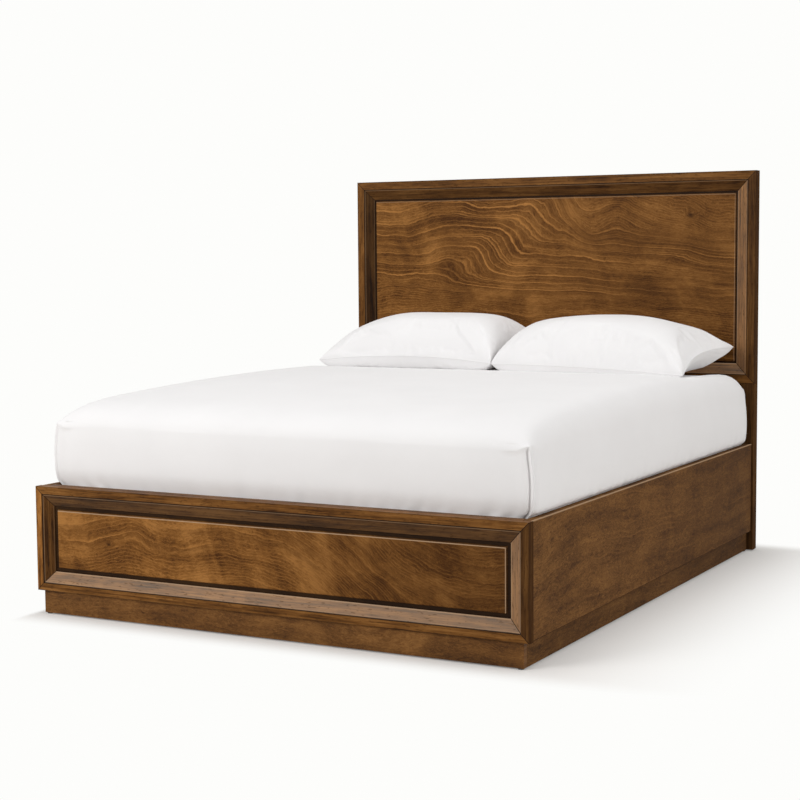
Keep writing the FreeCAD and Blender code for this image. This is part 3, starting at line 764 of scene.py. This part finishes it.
def perimeter(long_steps, corner_steps):
    """Columns of a rounded rectangle's outline: place along a side, turn in a corner, and ways."""
    place = np.concatenate([np.linspace(-1, 1, long_steps, endpoint=False), np.ones(corner_steps)])
    turn = np.concatenate([np.zeros(long_steps), np.linspace(0, np.pi / 2, corner_steps, endpoint=False)])
    ways = np.array([[1, 0, 0, -1], [0, 1, 1, 0], [-1, 0, 0, 1], [0, -1, -1, 0]], float)
    side = np.repeat(np.arange(4), len(place))
    return np.tile(place, 4), np.tile(turn, 4), side, ways[side]


def mattress_halves():
    """Half width, half length and middle along the bed of the sheeted mattress at its widest."""
    size = (SHEET_HIGH - SHEET_LOW) / 2
    return size[0] + SIDE_SWELL, size[1], (SHEET_HIGH[1] + SHEET_LOW[1]) / 2


def top_height(sizes, x, y):
    """Height of the sheet's upper side above the floor.

    With m = (1 - |x/a|^p)(1 - |y/b|^q), q being 16 at the foot and 30 at the head, it is
    edge + (crown - edge) f, f being (m + 0.012)^0.6 scaled to run from 0 to 1. The crown falls with
    the square of the distance from a line just behind the middle, and it is pressed in under the
    pillows, more so on the right.
    """
    half_x, half_y, middle = mattress_halves()
    across = np.abs(x / (half_x - SHOULDER_INSETS[0])).clip(0, 1)
    along = (y - middle) / (half_y - SHOULDER_INSETS[1])
    m = (1 - across ** sizes.shoulder_power) * (
        1 - np.abs(along).clip(0, 1) ** np.where(along < 0, FOOT_POWER, HEAD_POWER))
    least, most = (value ** SHOULDER_ROUND for value in (SHOULDER_START, 1 + SHOULDER_START))
    f = ((m + SHOULDER_START) ** SHOULDER_ROUND - least) / (most - least)
    crown = sizes.crown_height - sizes.crown_fall * (y - CROWN_LINE) ** 2
    dent = eased((DENT_REACH[0] - np.abs(x)) / DENT_SLOPE)
    dent *= eased((DENT_REACH[1] - np.abs(y - DENT_MIDDLE)) / DENT_SLOPE)
    dent *= 1 + 0.8 * eased((x + 0.2) / 0.7)
    return sizes.edge_height + (crown - sizes.edge_height) * f - sizes.pillow_dent * dent


def side_profile(sizes, inset, side_rows, top_rows):
    """Rows of the profile at mid-length, and the edge's height and its distance from the row below.

    Each row has its way past the edge, its inset from the widest outline and its height. The given
    points are first smoothed. Rows are even up the side, and over the top they grow as t^2.1.
    """
    half_x = mattress_halves()[0] - inset
    last = len(SIDE_POINTS)
    insets = np.concatenate([SIDE_POINTS[:, 0], TOP_INSETS])
    line = top_height(sizes, half_x - TOP_INSETS, np.zeros(len(TOP_INSETS))) - inset
    heights = np.concatenate([SIDE_POINTS[:, 1], line])
    way = np.concatenate([[0], np.cumsum(np.hypot(np.diff(insets), np.diff(heights)))])
    rows = np.concatenate([
        np.linspace(0, way[last], side_rows, endpoint=False),
        way[last] + (way[-1] - way[last]) * np.linspace(0, 1, top_rows) ** TOP_GROWTH])
    even = np.arange(0, way[-1], PROFILE_STEP)
    d, z = (
        np.interp(rows, even, smooth_rows(np.interp(even, way, values), 3)) for values in (insets, heights))
    d[-1] = half_x
    z[0] = MATTRESS_BASE
    return rows - way[last], d, z, line[0], way[last] - way[last - 1]


def mattress_surface(sizes, inset, steps, folds):
    """Points of the mattress from its lower edge to its crown line, row by row.

    A row is a rounded rectangle, inset from the widest outline by the profile. Up to the edge the
    height is the profile's, drawn up at the corners as far as the upper side stands over the edge
    there, and above the edge the height is that of the sheet's upper side. Near the edge each column
    is made round: a point becomes the mean of its column, weighted by a bell 9 mm wide.
    """
    side_rows, top_rows, long_steps, corner_steps = steps
    half_x, half_y, centre_y = mattress_halves()
    half_x, half_y = half_x - inset, half_y - inset
    past_edge, d, z_line, edge_z, last_step = side_profile(sizes, inset, side_rows, top_rows)
    on_top = eased((past_edge + last_step) / 0.040)[:, None]
    end_inset = d * np.interp(d, *END_SHARES)
    reach_x = (half_x - d)[:, None]
    reach_y = (half_y - end_inset)[:, None]
    radius = sizes.corner_radius + np.interp(d, *CORNER_GROWTH)[:, None]
    radius = np.minimum(radius, reach_x)
    place, turn, side, ways = perimeter(long_steps, corner_steps)
    even_side = (side % 2 == 0)[None, :]
    half = np.where(even_side, reach_x, reach_y)
    out = np.where(even_side, reach_y, reach_x)
    u = place * (half - radius) + radius * np.sin(turn)
    w = out - radius * (1 - np.cos(turn))
    x = u * ways[:, 0] + w * ways[:, 2]
    y = u * ways[:, 1] + w * ways[:, 3]
    z_top = top_height(sizes, x, y + centre_y) - inset
    above = (past_edge >= 0)[:, None]
    z = np.where(above, z_top, z_line[:, None] + np.maximum(z_top - edge_z, 0) * on_top)
    tight = end_inset[:, None] * (1 - on_top) * eased((z - 0.362) / 0.020)
    bulge = sizes.foot_overhang * eased((z - RAIL_TOP - 0.002) / 0.05)
    over = (tight + bulge) * eased((-y / half_y - 0.90) / 0.08)
    points = np.stack([x, y + centre_y - over, z], -1)
    gaps = past_edge[:, None] - past_edge[None]
    weights = np.exp(-0.5 * (gaps / ROUNDING) ** 2) * np.gradient(past_edge)[None]
    rounded = np.einsum("ij,jkl->ikl", weights / weights.sum(1)[:, None], points)
    near = eased((0.075 - np.abs(past_edge)) / 0.04)[:, None, None]
    points = points + (rounded - points) * near
    if folds:
        shown = 1 - eased((past_edge - 0.006) / 0.040)[:, None]
        points = points + sheet_folds(sizes, points, turn, side, ways, z_line[:, None]) * shown[..., None]
        keep_inside(points)
    return points


def keep_inside(points):
    """Hold the sheet clear of the rails and the footboard below the rails' tops, eased over 3 mm."""
    inside = eased((RAIL_TOP + 0.005 - points[..., 2]) / 0.003)
    for axis, limit in ((0, RAIL_INSIDE - WOOD_CLEARANCE), (1, -FOOT_INSIDE - WOOD_CLEARANCE)):
        held = points[..., axis].clip(-limit, limit)
        points[..., axis] += (held - points[..., axis]) * inside


def sheet_folds(sizes, points, turn, side, ways, height):
    """Moves of the sheet along its outline's normal: gathers low down, slack waves and corner seams.

    The gathers are sines round the perimeter, of random phase and slant, and their depth is a bell
    round the height of the rails' tops. The waves are sines too, deepest half way up. At each corner
    a seam, which bows a little, is a sum of three bells across it: a lip on the side panel, a groove
    on the end panel and a hollow beside that. At its upper end a bell in both ways makes a nose.
    """
    rng = np.random.default_rng(7)
    normal = ways[:, 2:] * np.cos(turn)[:, None] + ways[:, :2] * np.sin(turn)[:, None]
    run = np.cumsum(np.hypot(*np.diff(points[20, :, :2], axis=0, prepend=points[20, -1:, :2]).T))
    total = run[-1]
    low = bell(height, 0.395, 0.048)
    mid = np.clip(1 - np.abs(height - 0.50) / 0.15, 0, 1)
    move = np.zeros(points.shape[:2])
    for count, depth in GATHERS:
        swing = np.sin(
            2 * np.pi * count * run / total + rng.uniform(0, FULL_TURN) + height * rng.uniform(-9, 9))
        patch = 0.55 + 0.45 * np.sin(
            2 * np.pi * rng.integers(5, 14) * run / total + rng.uniform(0, FULL_TURN))
        move += sizes.pucker_depth * 0.5 * depth * swing * patch * low
    for count, depth in WAVES:
        swing = np.sin(
            2 * np.pi * count * run / total + rng.uniform(0, FULL_TURN) + height * rng.uniform(-6, 6))
        move += depth * swing * mid
    top = sizes.edge_height + 0.002
    along_seam = np.clip((top - height) / 0.014, 0, 1) * np.clip((height - 0.36) / 0.03, 0.4, 1)
    curve = 0.004 * np.sin(np.clip((top - height) / 0.24, 0, 1) * np.pi)
    for corner in range(4):
        mask = ((side == corner) | (side == (corner + 1) % 4))[None, :]
        seam = np.argmin(np.where((side == corner) & (turn > 0), np.abs(turn - np.pi / 4), 9))
        away = (run - run[seam] + total / 2) % total - total / 2
        toward_side = away if corner % 2 == 0 else -away
        shift = toward_side - curve
        seam_form = sum(rise * bell(shift, at, reach) for rise, at, reach in SEAM_FORMS)
        nose = 0.0060 * bell(toward_side, -0.004, 0.013) * bell(height, top, 0.012)
        move += np.where(mask, seam_form * along_seam + nose, 0)
    return np.concatenate([move[..., None] * normal[None], np.zeros(points.shape[:2] + (1,))], -1)


def make_mattress(sizes):
    """The mattress in its ticking, a closed body just inside the sheet.

    Its underside is the lower edge drawn to its middle in eight even steps.
    """
    points = mattress_surface(sizes, BODY_INSET, BODY_STEPS, folds=False)
    base = points[0, :, 2].min()
    centre = points[0].mean(0)
    shares = np.linspace(0, 1, UNDERSIDE_RINGS, endpoint=False)[:, None, None]
    floor = centre + (points[0] - centre) * shares
    floor[..., 2] = base
    rows = np.concatenate([floor, points])
    piece = build_mesh("mattress_body", rows, grid_faces(*rows.shape[:2]), WELD)
    piece.data.materials.append(striped_ticking("ticking"))
    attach(piece, "mattress")
    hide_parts("mattress")


def make_sheet(sizes, colours):
    """The fitted sheet, stretched over the mattress.

    Its hem is two more rows, the lower edge moved inwards and up again by two heights.
    """
    points = mattress_surface(sizes, 0.0, SHEET_STEPS, folds=True)
    inward = points[0] - (0, points[0, :, 1].mean(), 0)
    inward[:, 2] = 0
    inward /= np.linalg.norm(inward, axis=1)[:, None]
    hem = [points[0] - inward * HEM_GAP + (0, 0, rise) for rise in HEM_HEIGHTS]
    rows = np.concatenate([np.array(hem), points])
    piece = build_mesh("fitted_sheet_cloth", rows, grid_faces(*rows.shape[:2]), WELD)
    piece.data.materials.append(plain_cotton("sheet_cotton", colours.cotton, 0.0, 0.5))
    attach(piece, "mattress")
    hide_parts("fitted_sheet")


# ------------------------------------------------------------------ pillows
# Seam heights at the four corners (foot left, foot right, head left, head right), rise of the
# seam's middle at the foot, crown height, reach of the outer corner at the head, and the powers
# (p, q) of the left and right end.
PILLOW_FORMS = {
    "pillow_left": ((0.715, 0.717, 0.752, 0.760), 0.020, 0.886, 0.0, ((2.4, 0.74), (6.5, 0.40))),
    "pillow_right": ((0.716, 0.691, 0.757, 0.768), 0.006, 0.882, 0.036, ((3.2, 0.50), (2.4, 0.60))),
}
# How far the middles of the ends and of the long sides are drawn in, and the rim's rise at the head.
END_DRAW, SIDE_DRAW = 0.0107, 0.0166
HEAD_BOW = 0.012
SEAM_RADIUS = 0.0017
PILLOW_WELD = 0.00005
SETTLE_GAP = 0.0008
SETTLE_SOFTNESS = 0.004
SWELL_CAP = 0.009
CORNER_HOLD = 0.09
FILLING = {
    "vertex_group_mass": "rim", "quality": 6, "mass": 0.3, "tension_stiffness": 22,
    "compression_stiffness": 22, "shear_stiffness": 6, "bending_stiffness": 0.6, "shrink_min": -0.012,
    "use_pressure": True, "uniform_pressure_force": 2.6,
}


def spread(count):
    """Values from -1 to 1 that lie closer together towards both ends, as 1 - (1 - |s|)^1.55."""
    s = np.linspace(-1, 1, count)
    return np.sign(s) * (1 - (1 - np.abs(s)) ** 1.55)


def dome(values, power, root):
    """(1 - |x|^power)^root, and 0 past 1."""
    return (1 - np.abs(values) ** power).clip(0, 1) ** root


def pillow_grid(sizes, name, long_steps, deep_steps, seed):
    """A pillow's upper and lower sides as two grids that share their rim.

    The rim is a rectangle whose sides are drawn in as parabolas. Its height runs between those of
    its corners. The upper side stands over it by a share of the crown. With A = (1 - |u|^p)^q, p and
    q being those of the nearer end, and B = (1 - |v|^2.5)^0.56, the share is half of A B plus
    half of (A^-2 + B^-2 - 1)^-1/2, which keeps the corners full. The lower side hangs under the rim.
    """
    corners, bow, crown, reach, (left_end, right_end) = PILLOW_FORMS[name]
    low, high = node_box(name)
    a, b, _ = (high - low) / 2
    cx, cy, _ = (high + low) / 2
    u, v = np.meshgrid(spread(long_steps), spread(deep_steps))
    rng = np.random.default_rng(seed)
    share = u * 0.5 + 0.5
    x = u * (a - END_DRAW * (1 - v * v)) + reach * share ** 3 * (v * 0.5 + 0.5) ** 2
    y = v * (b - SIDE_DRAW * (1 - u * u))
    foot = corners[0] + (corners[1] - corners[0]) * share + bow * (1 - u * u)
    head = corners[2] + (corners[3] - corners[2]) * share + HEAD_BOW * (1 - u * u)
    seam = foot + (head - foot) * (1 - (0.5 - v * 0.5) ** 3.5)
    lean = 0.0
    for _ in range(5):
        kx, ky = rng.uniform(2, 9, 2)
        swell_x, swell_y = (np.sin(k * p * 3 + rng.uniform(0, FULL_TURN)) for k, p in ((kx, x), (ky, y)))
        lean = lean + 0.0016 * swell_x * swell_y
    along = np.where(u < 0, dome(u, *left_end), dome(u, *right_end))
    across = dome(v, 2.5, 0.56)
    full = 1 / np.sqrt(1 / (along ** 2 + 1e-9) + 1 / (across ** 2 + 1e-9) - 1)
    shape = 0.5 * along * across + 0.5 * full
    top = seam + (crown - seam + lean) * shape
    bottom = seam - sizes.pillow_belly * dome(u, 5.5, 0.5) * dome(v, 8, 0.42)
    return np.stack([x + cx, y + cy, top], -1), np.stack([x + cx, y + cy, bottom], -1)


def rim_loop(grid):
    """The rim of a grid as one closed line of points."""
    return np.concatenate([grid[0, :-1], grid[:-1, -1], grid[-1, :0:-1], grid[:0:-1, 0]])


def make_pillow(sizes, colours, name, seed):
    """One pillow: two panels sewn at the rim, filled by a cloth simulation and laid on the sheet."""
    columns, rows = ((151, 101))
    upper, lower = pillow_grid(sizes, name, columns, rows, seed)
    faces = grid_faces(rows, columns, wrap=False)
    points = np.concatenate([upper.reshape(-1, 3), lower.reshape(-1, 3)])
    piece = build_mesh(
        name + "_case", points, np.concatenate([faces, faces[:, ::-1] + rows * columns]), PILLOW_WELD)
    swell(sizes, piece)
    settle(sizes, piece)
    piece.data.materials.append(plain_cotton(name + "_cotton", colours.cotton, seed * 0.37, 1.0))
    piping = tube_points(rim_loop(upper), SEAM_RADIUS)
    seam = build_mesh(name + "_seam", piping, grid_faces(*piping.shape[:2], close=True))
    seam.data.materials.append(plain_cotton(name + "_seam_cotton", colours.cotton, seed * 0.11, 0.2))
    for part in (piece, seam):
        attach(part, name)
    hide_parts(name)


def swell(sizes, piece):
    """Fill a pillow: the rim is pinned, the cloth gets a little slack, and pressure lifts it.

    No point may end further than the cap from where it began. Its move is also multiplied by
    1 - exp(-(r / h)^2), r being its distance from the nearest corner seen from above and h the hold.
    """
    mesh = piece.data
    start = read_points(mesh)
    rim = piece.vertex_groups.new(name="rim")
    rim.add([int(i) for i in np.flatnonzero(on_rim(mesh))], 1.0, "REPLACE")
    cloth = piece.modifiers.new("Fill", "CLOTH")
    for name, value in FILLING.items():
        setattr(cloth.settings, name, value)
    cloth.settings.effector_weights.gravity = 0.0
    cloth.collision_settings.use_collision = False
    cloth.collision_settings.use_self_collision = False
    cloth.point_cache.frame_start = 1
    cloth.point_cache.frame_end = sizes.swell_frames
    scene = bpy.context.scene
    for step in range(1, sizes.swell_frames + 1):
        scene.frame_set(step)
    shaped = piece.evaluated_get(bpy.context.evaluated_depsgraph_get())
    move = read_points(shaped.data) - start
    piece.modifiers.remove(cloth)
    scene.frame_set(1)
    length = np.linalg.norm(move, axis=1)[:, None]
    move *= np.where(length > SWELL_CAP, SWELL_CAP / np.maximum(length, 1e-9), 1.0)
    from_middle = np.abs(start - (start.min(0) + start.max(0)) / 2)
    from_corner = from_middle - from_middle.max(0)
    move *= 1 - np.exp(-(from_corner[:, :1] ** 2 + from_corner[:, 1:2] ** 2) / CORNER_HOLD ** 2)
    write_points(mesh, start + move)


def on_rim(mesh):
    """True for each point that lies on the rim, where faces of the two panels meet.

    A panel's faces all belong to one half of the face list, so the rim's points are in both.
    """
    loops = np.empty(len(mesh.loops), int)
    mesh.loops.foreach_get("vertex_index", loops)
    second_start = mesh.polygons[len(mesh.polygons) // 2].loop_start
    first, second = np.zeros((2, len(mesh.vertices)), bool)
    first[loops[:second_start]] = True
    second[loops[second_start:]] = True
    return first & second


def settle(sizes, piece):
    """Lay a pillow on the sheet: no point is lower than the sheet, and the touch is eased.

    With g the height over the sheet in units of the softness s, the new height is s ln(1 + e^g).
    """
    points = read_points(piece.data)
    rest = top_height(sizes, points[:, 0], points[:, 1]) + SETTLE_GAP
    gap = (points[:, 2] - rest) / SETTLE_SOFTNESS
    points[:, 2] = rest + SETTLE_SOFTNESS * np.where(gap > 12, gap, np.log1p(np.exp(np.minimum(gap, 12))))
    write_points(piece.data, points)


# ------------------------------------------------------------------ studio
STUDIO_WHITE = (0.983, 0.983, 0.966)
SOFT_LIGHT = (1.0, 0.99, 0.98)
FLOOR_TONES = (0.87, 0.847, 0.820), (0.85, 0.827, 0.800)
FLOOR_HALF_WIDTH, FLOOR_FRONT, FLOOR_REAR = 30.0, -20.0, 14.0
BACKDROP_RADIUS, BACKDROP_TOP = 4.0, 16.0

# The bed's half width and half length on the floor. To the right the shadow fades over the reach,
# and so many times sooner to the left and past the ends. The glow hides it by a little everywhere.
SHADOW_HALF_X, SHADOW_HALF_Y, SHADOW_REACH = 0.84, 1.05, 0.54
SOONER_LEFT, SOONER_ENDS = 16.0, 3.6
LEAST_GLOW = 0.15

# Name, place, target, size and power in watts.
LAMPS = (
    ("key_lamp", (-2.4, -5.2, 3.0), (0.0, 0.0, 0.6), (2.6, 2.0), 145.0),
    ("side_lamp", (6.2, -0.9, 3.0), (0.0, -0.1, 0.4), (3.0, 3.0), 102.0),
    ("top_lamp", (0.4, -0.2, 5.4), (0.1, 0.0, 0.4), (4.0, 4.0), 100.0),
)

# The photograph's camera, as fitted to the bed's corners: place in metres, focal length and sensor
# width in millimetres, and the turn to the left, the tip downwards and the roll in degrees.
CAMERA_PLACE = (2.63862, -5.11044, 1.11342)
CAMERA_LENS, CAMERA_SENSOR = 75.456, 36.0
CAMERA_TURN = (28.2746, 4.8857, -0.4377)


def lay_floor():
    """A wide pale floor that turns up into a backdrop far behind the bed.

    Its profile is level, then a quarter circle, then upright. For all but the camera it is pale and
    matt. For the camera a plain white glow is mixed in, from a little under the bed to all of it
    where the distance from the bed's outline, by its two axes, has come to the shadow's reach.
    """
    steps, across = 60, 61
    turn = np.linspace(0, np.pi / 2, 24)[1:]
    y = np.concatenate([
        np.linspace(FLOOR_FRONT, FLOOR_REAR, steps), FLOOR_REAR + BACKDROP_RADIUS * np.sin(turn),
        [FLOOR_REAR + BACKDROP_RADIUS]])
    z = np.concatenate([np.zeros(steps), BACKDROP_RADIUS * (1 - np.cos(turn)), [BACKDROP_TOP]])
    x = np.linspace(-FLOOR_HALF_WIDTH, FLOOR_HALF_WIDTH, across)
    points = np.stack(np.broadcast_arrays(x[None, :], y[:, None], z[:, None]), -1)
    floor = build_mesh("studio_floor", points, grid_faces(len(y), across, wrap=False))
    finish = Finish("studio_floor", specular=0.0)
    px, py, _ = finish.place()
    grain = finish.noise((px, py, 0.0), 2.0, scale=3.0)
    matt = finish.shade(finish.mix(grain * 0.05, *FLOOR_TONES), 0.9)
    over_x = (px - SHADOW_HALF_X).high((-SHADOW_HALF_X - px) * SOONER_LEFT).high(0.0)
    over_y = (abs(py) - SHADOW_HALF_Y).high(0.0) * SOONER_ENDS
    fade = ((over_x * over_x + over_y * over_y) ** 0.5).span(0.0, SHADOW_REACH)
    glow = finish.add("ShaderNodeEmission", {}, {"Color": STUDIO_WHITE})
    shown = finish.seen() * (LEAST_GLOW + fade * (1 - LEAST_GLOW))
    floor.data.materials.append(finish.output(finish.add(
        "ShaderNodeMixShader", {}, {0: shown, 1: matt, 2: glow})))


def set_world():
    """A plain pale surround: white to the eye, and a soft light from all round for the rest."""
    world = bpy.data.worlds.new("studio")
    bpy.context.scene.world = world
    nodes = Nodes(world)
    soft = nodes.add("ShaderNodeBackground", {}, {"Color": SOFT_LIGHT, "Strength": 0.42})
    white = nodes.add("ShaderNodeBackground", {}, {"Color": STUDIO_WHITE, "Strength": 1.0})
    blend = nodes.add("ShaderNodeMixShader", {}, {0: nodes.seen(), 1: soft, 2: white})
    nodes.add("ShaderNodeOutputWorld", {}, {"Surface": blend})


def soft_lamp(name, place, target, size, power):
    """A rectangular lamp at a place that points at a target."""
    data = bpy.data.lights.new(name, "AREA")
    data.shape = "RECTANGLE"
    data.size, data.size_y = size
    data.energy = power
    lamp = bpy.data.objects.new(name, data)
    lamp.location = place
    lamp.rotation_euler = (Vector(target) - Vector(place)).to_track_quat("-Z", "Y").to_euler()
    bpy.context.scene.collection.objects.link(lamp)


def set_camera():
    """The photograph's view, turned, then tipped, then rolled."""
    yaw, pitch, roll = (math.radians(angle) for angle in CAMERA_TURN)
    ahead = Vector((-math.sin(yaw) * math.cos(pitch), math.cos(yaw) * math.cos(pitch), -math.sin(pitch)))
    right = Vector((math.cos(yaw), math.sin(yaw), 0.0))
    up = right.cross(ahead)
    across = right * math.cos(roll) + up * math.sin(roll)
    above = up * math.cos(roll) - right * math.sin(roll)
    data = bpy.data.cameras.new("studio_camera")
    data.sensor_width = CAMERA_SENSOR
    data.lens = CAMERA_LENS
    data.clip_end = 200.0
    camera = bpy.data.objects.new("studio_camera", data)
    turn = Matrix((across, above, -ahead)).transposed().to_4x4()
    camera.matrix_world = Matrix.Translation(CAMERA_PLACE) @ turn
    bpy.context.scene.collection.objects.link(camera)
    bpy.context.scene.camera = camera


# ------------------------------------------------------------------ operators
def settings_of(context):
    """The two groups of settings, sizes and colours."""
    return context.scene.panel_bed_sizes, context.scene.panel_bed_colours


class PANELBED_OT_wood(bpy.types.Operator):
    """Stain the end boards, rails and plinth, and finish the raw wood of the slatted base"""

    bl_idname = "panel_bed.wood"
    bl_label = "Finish the wood"

    def execute(self, context):
        _, colours = settings_of(context)
        finish_end_boards(colours)
        finish_sides(colours)
        finish_rest(colours)
        return {"FINISHED"}


class PANELBED_OT_hardware(bpy.types.Operator):
    """Finish the steel plates and hangers, the glides and the levelling feet"""

    bl_idname = "panel_bed.hardware"
    bl_label = "Finish the hardware"

    def execute(self, context):
        zinc = zinc_plate("zinc_steel")
        for name in STEEL:
            give(name, zinc)
        give("floor_glides", moulded_plastic("glide_plastic", (0.035, 0.033, 0.031)))
        feet = moulded_plastic("foot_plastic", (0.06, 0.06, 0.06))
        for name in FEET:
            give(name, feet)
        return {"FINISHED"}


class PANELBED_OT_mattress(bpy.types.Operator):
    """Make the mattress in its ticking"""

    bl_idname = "panel_bed.mattress"
    bl_label = "Make the mattress"

    def execute(self, context):
        sizes, _ = settings_of(context)
        make_mattress(sizes)
        return {"FINISHED"}


class PANELBED_OT_sheet(bpy.types.Operator):
    """Stretch the fitted sheet over the mattress"""

    bl_idname = "panel_bed.sheet"
    bl_label = "Make the fitted sheet"

    def execute(self, context):
        make_sheet(*settings_of(context))
        return {"FINISHED"}


class PANELBED_OT_pillows(bpy.types.Operator):
    """Fill the two pillows and lay them on the sheet"""

    bl_idname = "panel_bed.pillows"
    bl_label = "Make the pillows"

    def execute(self, context):
        sizes, colours = settings_of(context)
        make_pillow(sizes, colours, "pillow_left", 3)
        make_pillow(sizes, colours, "pillow_right", 8)
        return {"FINISHED"}


class PANELBED_OT_stage(bpy.types.Operator):
    """Lay the pale floor, light it softly and set up the camera"""

    bl_idname = "panel_bed.stage"
    bl_label = "Set the stage"

    def execute(self, context):
        lay_floor()
        set_world()
        for lamp in LAMPS:
            soft_lamp(*lamp)
        set_camera()
        context.scene.view_settings.view_transform = "Standard"
        return {"FINISHED"}


class PANELBED_PT_sidebar(bpy.types.Panel):
    """Lists the bed's steps, sizes and colours"""

    bl_idname = "PANELBED_PT_sidebar"
    bl_label = "Panel bed"
    bl_space_type = "VIEW_3D"
    bl_region_type = "UI"
    bl_category = "Panel bed"

    def draw(self, context):
        layout = self.layout
        for group in settings_of(context):
            box = layout.box()
            for name in group.__annotations__:
                box.prop(group, name)
        for step in STEPS:
            layout.operator(step.bl_idname)


STEPS = (
    PANELBED_OT_wood, PANELBED_OT_hardware, PANELBED_OT_mattress,
    PANELBED_OT_sheet, PANELBED_OT_pillows, PANELBED_OT_stage,
)
CLASSES = (BedSizes, BedColours) + STEPS + (PANELBED_PT_sidebar,)


def register():
    for cls in CLASSES:
        bpy.utils.register_class(cls)
    bpy.types.Scene.panel_bed_sizes = PointerProperty(type=BedSizes)
    bpy.types.Scene.panel_bed_colours = PointerProperty(type=BedColours)


def unregister():
    del bpy.types.Scene.panel_bed_colours
    del bpy.types.Scene.panel_bed_sizes
    for cls in reversed(CLASSES):
        bpy.utils.unregister_class(cls)


def main():
    """Register the add-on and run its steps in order."""
    register()
    bpy.ops.panel_bed.wood()
    bpy.ops.panel_bed.hardware()
    bpy.ops.panel_bed.mattress()
    bpy.ops.panel_bed.sheet()
    bpy.ops.panel_bed.pillows()
    bpy.ops.panel_bed.stage()


if __name__ == "__main__":
    main()
